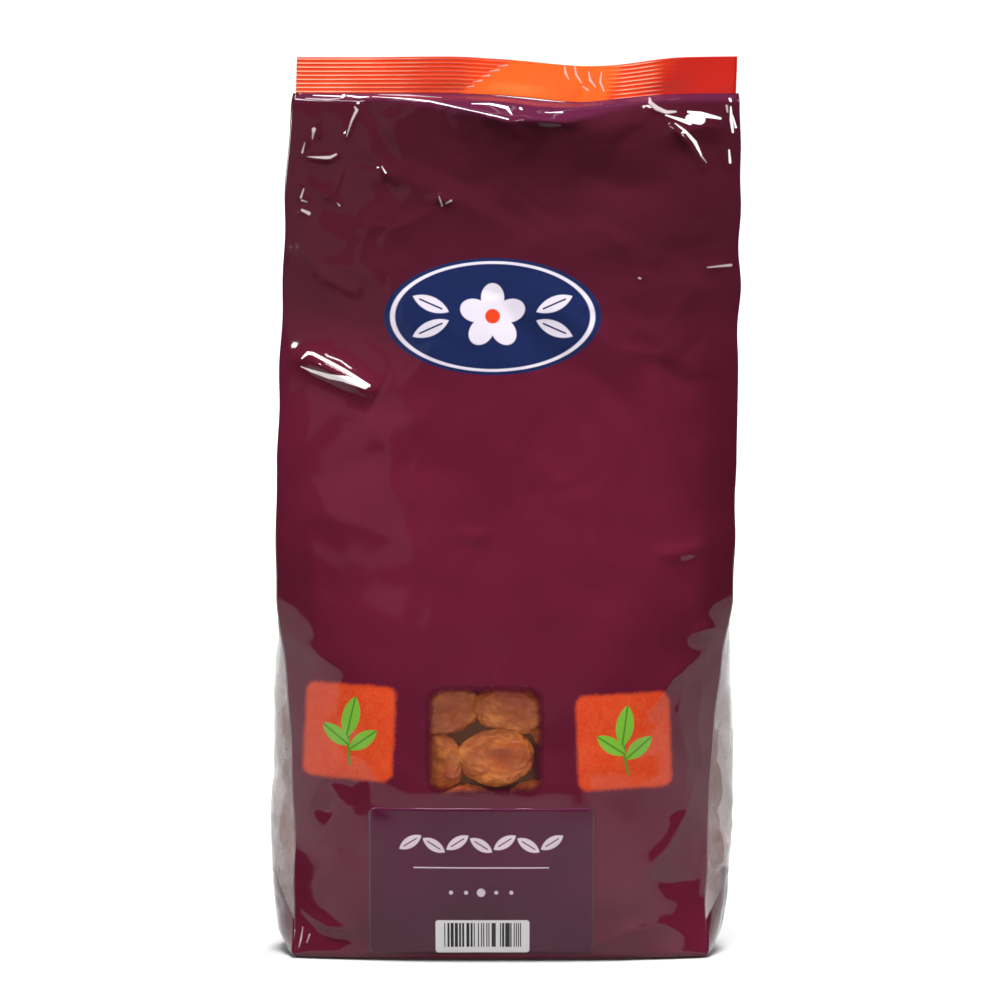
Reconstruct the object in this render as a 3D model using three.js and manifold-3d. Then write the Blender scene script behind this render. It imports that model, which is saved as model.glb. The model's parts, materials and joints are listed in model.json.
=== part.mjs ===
// A sealed retail bag of dried apricots, standing on its folded base.
// One web of printed plastic film is wrapped into a tube with a gusset down each side, closed by a fin
// seal up the back, a crimped header across the top and a crimped seal folded flat under the base.
// The film is modelled panel by panel: printed front and back, clear side gussets and a clear window.
// Millimetres. +Z is up and the printed front faces -Y. The bag is drawn about the middle of its base, and
// moved at the end so that the origin is at the bottom centre of its box.
import * as THREE from "three";
import { mergeVertices } from "three/addons/utils/BufferGeometryUtils.js";
import Module from "manifold-3d";

const wasm = await Module();
wasm.setup();

// Sizes of the bag
const BAG_HEIGHT = 368;
const HEADER_HEIGHT = 15.3;
const HEADER_HALF_WIDTH = 91.5;
const HEADER_THICKNESS = 1.6;
const HEADER_RIBS = 8;
const RIB_DEPTH = 0.3;
const FILM = 0.8; // film and its sealed layers, drawn thicker than the real 0.1 mm
const GAP = 0.3; // clearance that touching pieces keep
const LEAN = 6; // how far the top of the soft bag leans towards +X
const BODY_TOP = BAG_HEIGHT - HEADER_HEIGHT - GAP;
const HEADER_DIP = 3.4; // the header sags in the middle
const DIP_PLACE = 0.24; // of the half width, to the right of the middle
const DIP_WIDTH = 0.33;
const HEADER_WAVE = 2.2; // the header also waves forwards and back

// The body's profile at rising heights: [height, half distance between the front folds,
// half depth at the folds, how far the panels bulge past them, how far the gusset stands out of them]
const PROFILE = [
  [0, 84, 33, 7, 3.5],
  [12, 83.6, 29, 15, 7],
  [25, 83.5, 26, 22, 9],
  [45, 84, 23.5, 27, 10],
  [75, 85.3, 22, 30, 9],
  [105, 87.3, 22, 29.5, 7],
  [130, 90, 22, 27, 3],
  [155, 92.4, 22, 24, -4],
  [200, 93.4, 21, 19, -15],
  [240, 93.4, 18, 14.5, -22],
  [280, 93.4, 13.5, 10, -26],
  [320, 93.2, 8.5, 6.5, -28],
  [343, 92.8, 5, 5.2, -28.5],
  [BODY_TOP, 92, 2.6, 0.4, -28.5],
];
const PANEL_POWER = 3; // a panel is flat in the middle and rounds off to its folds
const TUCK = { from: 140, to: 205 }; // the heights over which the gusset turns from bowed out to tucked in

// Printed features that are pieces of their own or openings in the print
const PRINT_SHIFT = -7; // the print sits off the panel's middle
const WINDOW = { x: PRINT_SHIFT, z: 89, width: 47, height: 44, radius: 6 };
const LABEL = { x: -8.5, z: 33, width: 90, height: 59, radius: 3 };
const LABEL_THICKNESS = 0.6;

// Seals
const BACK_SEAL_WIDTH = 12;
const BASE_SEAL_DEPTH = 13;
const BASE_SEAL_INSET = 6; // from the folds at each end
const BASE_CHANNEL = 18; // the width over which the base film rises over the folded seal
const BASE_SLOPE = 1.5; // the width of the slope on each side of that channel

// Fruit
const FILL_TOP = 196;
const FRUIT_LENGTH = 30;
const FRUIT_WIDTH = 23;
const FRUIT_THICKNESS = 13;
const PILE_ROW = 20;
const CORE_INSET = 9;
const FRUIT_CLEARANCE = 2; // from the outside of the film
const POCKET = { x: WINDOW.x, z: WINDOW.z + 2, width: 84, height: 88, radius: 12 };
const POCKET_DEPTH = 24; // the window's fruit lies loose in front of the packed mass by this much
const SEED = 7;

// A smooth curve through the stations of one column of the profile (a monotone cubic, so no overshoot)
function profileColumn(column) {
  const z = PROFILE.map((row) => row[0]);
  const v = PROFILE.map((row) => row[column]);
  const slope = z.slice(1).map((top, i) => (v[i + 1] - v[i]) / (top - z[i]));
  const tangent = z.map((_, i) => {
    if (i === 0) return slope[0];
    if (i === z.length - 1) return slope[i - 1];
    const [below, above] = [slope[i - 1], slope[i]];
    return below * above <= 0 ? 0 : (2 * below * above) / (below + above);
  });
  return (height) => {
    const h = THREE.MathUtils.clamp(height, z[0], z[z.length - 1]);
    let i = 0;
    while (i < z.length - 2 && h > z[i + 1]) i += 1;
    const span = z[i + 1] - z[i];
    const t = (h - z[i]) / span;
    const [t2, t3] = [t * t, t * t * t];
    return (
      v[i] * (2 * t3 - 3 * t2 + 1) +
      tangent[i] * span * (t3 - 2 * t2 + t) +
      v[i + 1] * (3 * t2 - 2 * t3) +
      tangent[i + 1] * span * (t3 - t2)
    );
  };
}

const foldX = profileColumn(1);
const foldY = profileColumn(2);
const bulge = profileColumn(3);
const gussetOut = profileColumn(4);
const leanAt = (z) => LEAN * (z / BAG_HEIGHT) ** 1.5;
const ease = (low, high, x) => THREE.MathUtils.smoothstep(x, low, high);

// The film stands out in a soft shoulder under the header, fullest in the middle
const SHOULDER_Z = 341;
const SHOULDER_OUT = 4.5;
const SHOULDER_HEIGHT = 11;
function shoulder(u, z) {
  const across = Math.exp(-(((u - DIP_PLACE * 0.3) / 0.5) ** 2));
  return SHOULDER_OUT * across * Math.exp(-(((z - SHOULDER_Z) / SHOULDER_HEIGHT) ** 2));
}

// How far a panel stands from the middle plane, u = -1 to 1 from fold to fold
function panelDepth(u, z) {
  const fade = ease(0, 10, BODY_TOP - z);
  return foldY(z) + bulge(z) * (1 - Math.abs(u) ** PANEL_POWER) + shoulder(u, z) * fade;
}

// A closed solid between two grids of points, outer(u, v) and inner(u, v)
function plate(outer, inner, us, vs) {
  const [nu, nv] = [us.length, vs.length];
  const points = [];
  for (const side of [outer, inner])
    for (const v of vs) for (const u of us) points.push(...side(u, v));
  const at = (side, i, j) => (side * nv + j) * nu + i;
  const faces = [];
  const quad = (a, b, c, d) => faces.push(a, b, c, a, c, d);
  for (let j = 0; j < nv - 1; j += 1)
    for (let i = 0; i < nu - 1; i += 1) {
      quad(at(0, i, j), at(0, i + 1, j), at(0, i + 1, j + 1), at(0, i, j + 1));
      quad(at(1, i, j), at(1, i, j + 1), at(1, i + 1, j + 1), at(1, i + 1, j));
    }
  for (let i = 0; i < nu - 1; i += 1) {
    quad(at(0, i + 1, 0), at(0, i, 0), at(1, i, 0), at(1, i + 1, 0));
    const j = nv - 1;
    quad(at(0, i, j), at(0, i + 1, j), at(1, i + 1, j), at(1, i, j));
  }
  for (let j = 0; j < nv - 1; j += 1) {
    quad(at(0, 0, j), at(0, 0, j + 1), at(1, 0, j + 1), at(1, 0, j));
    const i = nu - 1;
    quad(at(0, i, j + 1), at(0, i, j), at(1, i, j), at(1, i, j + 1));
  }
  return facingOut(points, faces);
}

// A geometry from loose arrays, turned round if its faces point inwards
function facingOut(points, faces) {
  const p = (i) => new THREE.Vector3(points[3 * i], points[3 * i + 1], points[3 * i + 2]);
  let volume = 0;
  for (let i = 0; i < faces.length; i += 3)
    volume += p(faces[i]).dot(p(faces[i + 1]).cross(p(faces[i + 2])));
  if (volume < 0)
    for (let i = 0; i < faces.length; i += 3)
      [faces[i + 1], faces[i + 2]] = [faces[i + 2], faces[i + 1]];
  const geometry = new THREE.BufferGeometry();
  geometry.setAttribute("position", new THREE.Float32BufferAttribute(points, 3));
  geometry.setIndex(faces);
  return geometry;
}

const steps = (from, to, count) =>
  Array.from({ length: count + 1 }, (_, i) => from + ((to - from) * i) / count);

// Joins and cuts are made on solids, and these two turn a geometry into a solid and back
function solid(geometry) {
  const bare = geometry.clone();
  bare.deleteAttribute("normal");
  bare.deleteAttribute("uv");
  const merged = mergeVertices(bare, 1e-4);
  const vertProperties = new Float32Array(merged.attributes.position.array);
  const triVerts = new Uint32Array(merged.index.array);
  return new wasm.Manifold(new wasm.Mesh({ numProp: 3, vertProperties, triVerts }));
}

function geometryOf(body) {
  const mesh = body.getMesh();
  const geometry = new THREE.BufferGeometry();
  const position = new THREE.BufferAttribute(new Float32Array(mesh.vertProperties), 3);
  geometry.setAttribute("position", position);
  geometry.setIndex(new THREE.BufferAttribute(new Uint32Array(mesh.triVerts), 1));
  return geometry;
}

// A rounded rectangle run straight through the front of the bag, for cutting the print's openings
const PRISM_DEPTH = 90;
function frontPrism({ x, z, width, height, radius }, trim) {
  const [w, h, r] = [width / 2 - trim, height / 2 - trim, radius];
  const shape = new THREE.Shape();
  shape.moveTo(-w + r, -h);
  shape.lineTo(w - r, -h);
  shape.absarc(w - r, -h + r, r, -Math.PI / 2, 0);
  shape.absarc(w - r, h - r, r, 0, Math.PI / 2);
  shape.absarc(-w + r, h - r, r, Math.PI / 2, Math.PI);
  shape.absarc(-w + r, -h + r, r, Math.PI, 1.5 * Math.PI);
  const options = { depth: PRISM_DEPTH, bevelEnabled: false, curveSegments: 4 };
  const prism = new THREE.ExtrudeGeometry(shape, options);
  prism.rotateX(Math.PI / 2);
  prism.translate(x, 0, z);
  return solid(prism);
}

// Printed front and back panels
const panelUs = steps(-1, 1, 14).map((u) => Math.sin((u * Math.PI) / 2) * 0.35 + u * 0.65);
const bodyZs = [0, 6, 14, 30, 50, 75, 100, 125, 150, 180, 215, 250, 285, 312, 330, 341, BODY_TOP];

function panelSheet(side, from, to, us = panelUs, vs = bodyZs) {
  const layer = (out) => (u, z) => [
    leanAt(z) + foldX(z) * u,
    side * (panelDepth(u, z) + out),
    z,
  ];
  return plate(layer(from), layer(to), us, vs);
}

function frontPanel() {
  return geometryOf(solid(panelSheet(-1, 0, -FILM)).subtract(frontPrism(WINDOW, 0)));
}

function windowFilm() {
  return geometryOf(solid(panelSheet(-1, 0, -FILM)).intersect(frontPrism(WINDOW, GAP)));
}

function productLabel() {
  const sheet = solid(panelSheet(-1, GAP + LABEL_THICKNESS, GAP));
  return geometryOf(sheet.intersect(frontPrism(LABEL, 0)));
}

function backPanel() {
  return panelSheet(1, 0, -FILM);
}

// The fin seal: two edges of the web welded face to face, and folded flat against the back
function backSeal() {
  const half = BACK_SEAL_WIDTH / 2 / foldX(BODY_TOP);
  const aboveBase = bodyZs.slice(1);
  return panelSheet(1, GAP + FILM, GAP, steps(-half, half, 2), aboveBase);
}

// A clear gusset: it bows out where the fruit fills it, and tucks in between the panels above
function gusset(side) {
  const reach = (z) => foldY(z) - FILM - GAP;
  const tucked = (z) => ease(TUCK.from, TUCK.to, z);
  const bow = (w, z) => 1 - Math.abs(w) ** (2 - 0.85 * tucked(z));
  const mitre = (z) => (tucked(z) * Math.abs(gussetOut(z)) * FILM) / reach(z);
  const outside = (w, z) => {
    const x = foldX(z) + (gussetOut(z) + mitre(z)) * bow(w, z);
    return [leanAt(z) + side * x, (reach(z) - FILM * tucked(z)) * w, z];
  };
  const inside = (w, z) => {
    const x = foldX(z) - FILM * (1 - tucked(z)) + gussetOut(z) * bow(w, z);
    return [leanAt(z) + side * x, reach(z) * w, z];
  };
  return plate(outside, inside, steps(-1, 1, 6), bodyZs);
}

// The crimped header: every layer of the tube welded together between ribbed jaws
function headerPlace(u, z) {
  const dip = HEADER_DIP * Math.exp(-(((u - DIP_PLACE) / DIP_WIDTH) ** 2));
  const rise = z - (BAG_HEIGHT - HEADER_HEIGHT);
  const wave = HEADER_WAVE * Math.sin(2.6 * u + 0.4) * (rise / HEADER_HEIGHT);
  return { x: leanAt(z) + HEADER_HALF_WIDTH * u, y: wave, z: z - dip * (rise / HEADER_HEIGHT) };
}

function topSeal() {
  const pitch = HEADER_HEIGHT / (HEADER_RIBS + 1);
  const heights = steps(BAG_HEIGHT - HEADER_HEIGHT, BAG_HEIGHT, 2 * (HEADER_RIBS + 1));
  const rib = (z) => {
    const phase = ((BAG_HEIGHT - z) / pitch) % 1;
    return RIB_DEPTH * Math.sin(Math.PI * phase) ** 2;
  };
  const face = (side) => (u, z) => {
    const place = headerPlace(u, z);
    return [place.x, place.y + side * (HEADER_THICKNESS / 2 - RIB_DEPTH) + rib(z) * side, place.z];
  };
  return plate(face(-1), face(1), steps(-1, 1, 12), heights);
}

// The base: the film folded flat under the fruit, rising a little over the folded seal. Its rows run
// from the front edge to the back edge, and each gives a distance from the middle.
function basePanel() {
  const edge = (u) => panelDepth(u, 0) - FILM - GAP;
  const channel = BASE_CHANNEL / 2;
  const half = [edge, (u) => 0.6 * edge(u), () => channel + BASE_SLOPE, () => channel];
  const front = half.map((row) => (u) => -row(u));
  const rows = [...front, () => 0, ...half.toReversed()];
  const layer = (rise) => (u, row) => {
    const y = row(u);
    const raised = Math.abs(y) <= channel ? FILM + GAP : 0;
    const reach = Math.min(1, Math.abs(y) / (foldY(0) - FILM - GAP));
    const halfWidth = foldX(0) + gussetOut(0) * (1 - reach ** 2) - FILM - 2 * GAP;
    return [halfWidth * u, y, raised + rise];
  };
  return plate(layer(0), layer(FILM), steps(-1, 1, 8), rows);
}

function baseSeal() {
  const strip = new THREE.BoxGeometry(2 * (foldX(0) - BASE_SEAL_INSET), BASE_SEAL_DEPTH, FILM);
  strip.translate(0, 0, FILM / 2);
  return strip;
}

// Fruit. A dried apricot is a flattened oval with a thick soft rim, hollowed where the stone was
// pushed out, and with the fruit's seam running along its edge.
let seed = SEED;
function draw() {
  seed = (seed * 16807) % 2147483647;
  return seed / 2147483647;
}

function fruitGeometry(across, around, size, phase) {
  const unit = new THREE.SphereGeometry(1, across, around);
  unit.deleteAttribute("normal");
  unit.deleteAttribute("uv");
  const ball = mergeVertices(unit, 1e-4);
  const position = ball.getAttribute("position");
  const v = new THREE.Vector3();
  for (let i = 0; i < position.count; i += 1) {
    v.fromBufferAttribute(position, i).normalize();
    const angle = Math.atan2(v.y, v.x);
    const inwards = Math.max(0, 1 - Math.hypot(v.x, v.y));
    const outline = 1 + 0.05 * Math.cos(2 * angle + phase) + 0.04 * Math.cos(3 * angle + 2 * phase);
    const hollow = v.z > 0 ? 0.3 * inwards ** 0.7 : 0.08 * inwards;
    const plump = Math.sign(v.z) * Math.abs(v.z) ** 0.8 * (1 - hollow);
    position.setXYZ(
      i,
      (v.x * outline * size.length) / 2,
      (v.y * outline * size.width) / 2,
      (plump * size.thickness) / 2,
    );
  }
  return ball;
}

// Turns a fruit so that its flat side faces out along a normal, spun and tipped a little
function placedFruit(geometry, place, outward, spin, tip) {
  const turn = new THREE.Quaternion().setFromUnitVectors(new THREE.Vector3(0, 0, 1), outward);
  turn.multiply(new THREE.Quaternion().setFromEuler(new THREE.Euler(tip, tip * 0.6, spin)));
  const matrix = new THREE.Matrix4().compose(place, turn, new THREE.Vector3(1, 1, 1));
  return geometry.clone().applyMatrix4(matrix);
}

// The fruit that shows in the window, placed as it lies there: [across, up, depth behind the film,
// length, width, thickness, spin and tip in degrees]
const WINDOW_FRUIT = [
  [1, 103.5, 7.0, 30, 22, 12, -14, 4],
  [-3.2, 82.2, 7.2, 32, 23, 12.5, 12, -6],
  [-27.6, 101.5, 9.5, 25, 19, 12, 10, 10],
  [-27.4, 79.8, 10.2, 22, 23, 12, 60, -8],
  [23.5, 93.5, 11.5, 20, 25, 12, 85, 8],
  [-14.5, 61.5, 9.5, 27, 18, 12, 4, 6],
  [14.5, 62.5, 10.5, 27, 20, 12, -20, -6],
  [-14, 122.5, 9.5, 28, 18, 12, 8, -6],
];

function frontNormal(u, z) {
  const e = 0.01;
  const depth = (du, dz) => -panelDepth(u + du, z + dz);
  const dx = (depth(e, 0) - depth(-e, 0)) / (2 * e * foldX(z));
  const dz = (depth(0, 1) - depth(0, -1)) / 2;
  return new THREE.Vector3(dx, -1, dz).normalize();
}

function windowFruit([across, up, depth, length, width, thickness, spin, tip], index) {
  const u = across / foldX(up);
  const normal = frontNormal(u, up);
  const skin = new THREE.Vector3(leanAt(up) + across, -panelDepth(u, up), up);
  const place = skin.addScaledVector(normal, -depth - FILM);
  const shape = fruitGeometry(12, 8, { length, width, thickness }, index * 1.7);
  const radians = THREE.MathUtils.degToRad;
  return placedFruit(shape, place, normal, radians(spin), radians(tip));
}

// Soft fruit is dented where a neighbour lies against it, with the clearance that touching pieces keep
function dentedBy(body, neighbours) {
  return neighbours.reduce((rest, neighbour) => {
    const dent = neighbour.clone();
    dent.computeBoundingBox();
    const { min, max } = dent.boundingBox;
    const middle = min.clone().add(max).divideScalar(2);
    const grown = max.clone().sub(min).addScalar(4 * GAP).divide(max.clone().sub(min));
    dent.translate(-middle.x, -middle.y, -middle.z).scale(grown.x, grown.y, grown.z);
    return rest.subtract(solid(dent.translate(middle.x, middle.y, middle.z)));
  }, body);
}

const largest = (body) => body.decompose().sort((a, b) => b.volume() - a.volume())[0];

// A section of the space inside the film at one height, drawn in by an inset. Its four sides run from
// the front panel (0) round by the right gusset (1), the back panel (2) and the left gusset (3).
const RING_SIDE = 6;
function sidePoint(side, t, z, inset) {
  const [fx, fy, shift] = [foldX(z), foldY(z), leanAt(z)];
  const across = (fx - inset) * t;
  const depth = panelDepth(t, z) - inset;
  const out = fx + gussetOut(z) * (1 - t * t) - inset;
  const along = (fy - inset * 0.4) * t;
  if (side === 0) return new THREE.Vector3(shift + across, -depth, z);
  if (side === 1) return new THREE.Vector3(shift + out, along, z);
  if (side === 2) return new THREE.Vector3(shift - across, depth, z);
  return new THREE.Vector3(shift - out, -along, z);
}

function insideSolid(inset, heights) {
  const ring = 4 * RING_SIDE;
  const points = [];
  const faces = [];
  heights.forEach((z) => {
    for (let i = 0; i < ring; i += 1) {
      const t = (2 * (i % RING_SIDE)) / RING_SIDE - 1;
      points.push(...sidePoint(Math.floor(i / RING_SIDE), t, z, inset));
    }
  });
  for (let j = 0; j < heights.length - 1; j += 1)
    for (let i = 0; i < ring; i += 1) {
      const next = (i + 1) % ring;
      const [a, b, c, d] = [j * ring + i, j * ring + next, (j + 1) * ring + next, (j + 1) * ring + i];
      faces.push(a, b, c, a, c, d);
    }
  [0, heights.length - 1].forEach((j, top) => {
    const middle = points.length / 3;
    points.push(leanAt(heights[j]), 0, heights[j]);
    for (let i = 0; i < ring; i += 1) {
      const [a, b] = [j * ring + i, j * ring + ((i + 1) % ring)];
      faces.push(middle, top ? a : b, top ? b : a);
    }
  });
  return solid(facingOut(points, faces));
}

// One fruit of the pile, lying flat against a surface, and sunk in it by its own half thickness
function pileFruit(surface, outward) {
  const scale = 0.9 + 0.2 * draw();
  const size = { length: FRUIT_LENGTH * scale, width: FRUIT_WIDTH * scale, thickness: FRUIT_THICKNESS };
  const shape = fruitGeometry(6, 4, size, 6 * draw());
  const place = surface.addScaledVector(outward, -FRUIT_THICKNESS / 2);
  return placedFruit(shape, place, outward, Math.PI * draw(), 0.25 * (draw() - 0.5));
}

function gussetFruit() {
  const fruit = [];
  [1, 3].forEach((side) => {
    for (let row = 0; row * PILE_ROW < FILL_TOP - 30; row += 1) {
      const places = row % 2 ? [-0.9, 0, 0.9] : [-0.5, 0.5];
      places.forEach((t) => {
        const z = 16 + row * PILE_ROW + 5 * (draw() - 0.5);
        const surface = sidePoint(side, t, z, FRUIT_CLEARANCE);
        const outward = surface.clone().sub(sidePoint(side, t, z, CORE_INSET)).normalize();
        fruit.push(pileFruit(surface, outward));
      });
    }
  });
  return fruit;
}

function topFruit() {
  const fruit = [];
  for (let x = -60; x <= 60; x += 30)
    [-10, 10].forEach((y) => {
      const surface = new THREE.Vector3(x + leanAt(FILL_TOP), y, FILL_TOP - 4 * draw());
      const upward = new THREE.Vector3(0.3 * (draw() - 0.5), 0.3 * (draw() - 0.5), 1).normalize();
      fruit.push(pileFruit(surface, upward));
    });
  return fruit;
}

// The fruit that shows darkly behind the first layer in the window
function pocketFruit() {
  const fruit = [];
  [-28, 0, 28].forEach((x) => {
    [-22, 22].forEach((z) => {
      const middle = { u: (POCKET.x + x) / foldX(POCKET.z + z), z: POCKET.z + z };
      const surface = sidePoint(0, middle.u, middle.z, POCKET_DEPTH - 5);
      fruit.push(pileFruit(surface, frontNormal(middle.u, middle.z)));
    });
  });
  return fruit;
}

// The rest of the fruit: whole apricots against the gussets, over the top of the fill and behind the
// window's own, fused to the packed mass that the printed film hides
function fruitPile(shown) {
  const coreHeights = [9, 35, 80, 125, 155, FILL_TOP - 10];
  const pocketFloor = insideSolid(POCKET_DEPTH, coreHeights);
  let pile = insideSolid(CORE_INSET, coreHeights);
  pile = pile.subtract(frontPrism(POCKET, 0).subtract(pocketFloor));
  [...gussetFruit(), ...topFruit(), ...pocketFruit()].forEach((fruit) => {
    pile = pile.add(solid(fruit));
  });
  const room = [2.6, 20, 50, 85, 120, 155, FILL_TOP + 8];
  pile = pile.intersect(insideSolid(FRUIT_CLEARANCE, room));
  return geometryOf(largest(dentedBy(pile, shown)));
}

// Finishes
const printedFilm = new THREE.MeshStandardMaterial({ color: 0x641f35, roughness: 0.22, metalness: 0 });
const clearFilm = new THREE.MeshStandardMaterial({
  color: 0xc9c2c0, roughness: 0.12, metalness: 0, transparent: true, opacity: 0.35,
});
const headerFilm = new THREE.MeshStandardMaterial({ color: 0xf2461d, roughness: 0.3, metalness: 0 });
const labelFilm = new THREE.MeshStandardMaterial({ color: 0x55304a, roughness: 0.3, metalness: 0 });
const driedFruit = new THREE.MeshStandardMaterial({ color: 0xb5642c, roughness: 0.5, metalness: 0 });

const bag = new THREE.Group();
function add(name, geometry, material) {
  const mesh = new THREE.Mesh(geometry, material);
  mesh.name = name;
  bag.add(mesh);
}

add("front_panel", frontPanel(), printedFilm);
add("back_panel", backPanel(), printedFilm);
add("back_seal", backSeal(), printedFilm);
add("window_film", windowFilm(), clearFilm);
add("gusset_left", gusset(-1), clearFilm);
add("gusset_right", gusset(1), clearFilm);
add("top_seal", topSeal(), headerFilm);
add("base_panel", basePanel(), printedFilm);
add("base_seal", baseSeal(), printedFilm);
add("product_label", productLabel(), labelFilm);
const wholeFruit = WINDOW_FRUIT.map(windowFruit);
const shownFruit = wholeFruit.map((fruit, i) => {
  return geometryOf(largest(dentedBy(solid(fruit), wholeFruit.slice(0, i))));
});
shownFruit.forEach((geometry, i) => add(`dried_apricot_${i + 1}`, geometry, driedFruit));
add("apricot_pile", fruitPile(wholeFruit), driedFruit);

const middle = new THREE.Box3().setFromObject(bag, true).getCenter(new THREE.Vector3());
bag.position.set(-middle.x, -middle.y, 0);

export default bag;
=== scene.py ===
# A sealed retail bag of dried apricots, standing on its folded base on a pale studio floor.
# Metres. +Z is up and the printed front faces -Y.
import json
import math

import bmesh
import bpy
import numpy as np
from mathutils import Euler, Matrix, Vector

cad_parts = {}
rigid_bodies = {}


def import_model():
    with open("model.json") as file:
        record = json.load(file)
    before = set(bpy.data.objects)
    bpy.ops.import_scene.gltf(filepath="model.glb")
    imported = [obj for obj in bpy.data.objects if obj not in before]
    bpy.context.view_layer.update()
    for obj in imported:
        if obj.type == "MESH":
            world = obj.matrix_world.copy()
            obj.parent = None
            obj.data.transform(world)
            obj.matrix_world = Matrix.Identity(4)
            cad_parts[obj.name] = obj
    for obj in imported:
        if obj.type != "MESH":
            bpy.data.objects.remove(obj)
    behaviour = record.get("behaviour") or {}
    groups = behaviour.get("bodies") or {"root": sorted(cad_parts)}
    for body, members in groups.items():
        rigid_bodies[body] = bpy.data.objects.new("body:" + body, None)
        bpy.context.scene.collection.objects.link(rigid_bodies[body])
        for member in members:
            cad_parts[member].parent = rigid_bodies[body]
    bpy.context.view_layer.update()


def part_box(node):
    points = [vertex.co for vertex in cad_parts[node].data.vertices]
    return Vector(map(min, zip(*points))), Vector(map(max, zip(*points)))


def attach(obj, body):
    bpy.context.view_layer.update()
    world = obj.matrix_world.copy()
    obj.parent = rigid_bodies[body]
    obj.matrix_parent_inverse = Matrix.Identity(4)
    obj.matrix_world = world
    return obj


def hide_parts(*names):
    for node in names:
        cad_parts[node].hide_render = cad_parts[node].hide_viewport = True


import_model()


# The printed front film
# The front of one tube of thin glossy film, plum ink behind a clear outer skin, with a window left
# unprinted. Fruit fills the tube to a little over half of its height and pushes the film out, and above
# that the sides tuck in and the film closes to a flat seal, with the creases of a handled bag.
MM = 0.001
base_low, base_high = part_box("base_seal")
MIDDLE_X, MIDDLE_Y = (base_low.x + base_high.x) / 2, (base_low.y + base_high.y) / 2
BODY_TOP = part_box("front_panel")[1].z
BAG_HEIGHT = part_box("top_seal")[1].z
HEADER_THICKNESS, TURN_IN = 1 * MM, 3 * MM
LEAN = 7 * MM
PANEL_POWER = 3
FILM_THICKNESS = 0.25 * MM
TUCK_FROM, TUCK_TO = 140 * MM, 205 * MM
FOOT_RADIUS = 2.5 * MM

# Height, half distance between the front folds, half depth at the folds, how far the panels bulge
# past them, and how far the gusset stands out of them
PROFILE = MM * np.array([
    [0, 84, 33, 7, 3.5],
    [12, 83.6, 29, 15, 8],
    [25, 83.5, 26, 22, 10.5],
    [45, 84, 23.5, 27, 11],
    [75, 85.3, 22, 30, 9.5],
    [105, 87.3, 22, 29.5, 7],
    [122, 89.4, 22, 28, 4],
    [134, 91.6, 22, 26.6, 1],
    [146, 93, 22, 25, -3],
    [200, 93.4, 21, 19, -15],
    [240, 93.4, 18, 14.5, -22],
    [280, 93.4, 13.5, 10, -26],
    [320, 93.2, 8.5, 6.5, -28],
    [348.5, 92.4, 4.2, 3.6, -28.5],
    [352.4, 92, 2.6, 0.4, -28.5],
])


def along_height(column):
    """The smooth curve through one column of the profile, as a function of height."""
    z, v = PROFILE[:, 0], PROFILE[:, column]
    slope = np.diff(v) / np.diff(z)
    product = slope[:-1] * slope[1:]
    total = np.where(product > 0, slope[:-1] + slope[1:], 1)
    inner = np.where(product > 0, 2 * product / total, 0)
    tangent = np.concatenate([slope[:1], inner, slope[-1:]])

    def curve(height):
        h = np.clip(height, z[0], z[-1])
        i = np.clip(np.searchsorted(z, h, side="right") - 1, 0, len(z) - 2)
        span = z[i + 1] - z[i]
        t = (h - z[i]) / span
        low = v[i] * (2 * t**3 - 3 * t**2 + 1) + tangent[i] * span * (t**3 - 2 * t**2 + t)
        high = v[i + 1] * (3 * t**2 - 2 * t**3) + tangent[i + 1] * span * (t**3 - t**2)
        return low + high

    return curve


FOLD_HALF_WIDTH, FOLD_HALF_DEPTH = along_height(1), along_height(2)
bulge = along_height(3)
gusset_out = along_height(4)


def smooth(low, high, x):
    """0 below low, 1 above high, and a smooth rise between them."""
    t = np.clip((x - low) / (high - low), 0, 1)
    return t * t * (3 - 2 * t)


def lean(z):
    """How far the bag leans to the right at a height."""
    return LEAN * (z / BAG_HEIGHT) ** 1.5


def tuck_under(z):
    """How far the film has rolled in under the bag, on a quarter round at the foot."""
    rise = np.clip(z / FOOT_RADIUS, 0, 1)
    return FOOT_RADIUS * (1 - np.sqrt(1 - (1 - rise) ** 2))


def fold_x(z):
    """How far the folds stand from the middle, across the bag."""
    return FOLD_HALF_WIDTH(z) - tuck_under(z)


def fold_y(z):
    """How far the folds stand from the middle, from front to back."""
    return FOLD_HALF_DEPTH(z) - tuck_under(z)


def ripple(a, b, wavelength, seed, waves=7):
    """A smooth random wave over a surface, about -1 to 1, from a few crossing sine waves."""
    rng = np.random.default_rng(seed)
    total = np.zeros(np.broadcast(a, b).shape)
    for _ in range(waves):
        turn, phase = rng.uniform(0, 2 * math.pi, 2)
        number = 2 * math.pi / (wavelength * rng.uniform(0.7, 1.5))
        total += np.sin(number * (a * math.cos(turn) + b * math.sin(turn)) + phase)
    return total / math.sqrt(waves)


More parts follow.
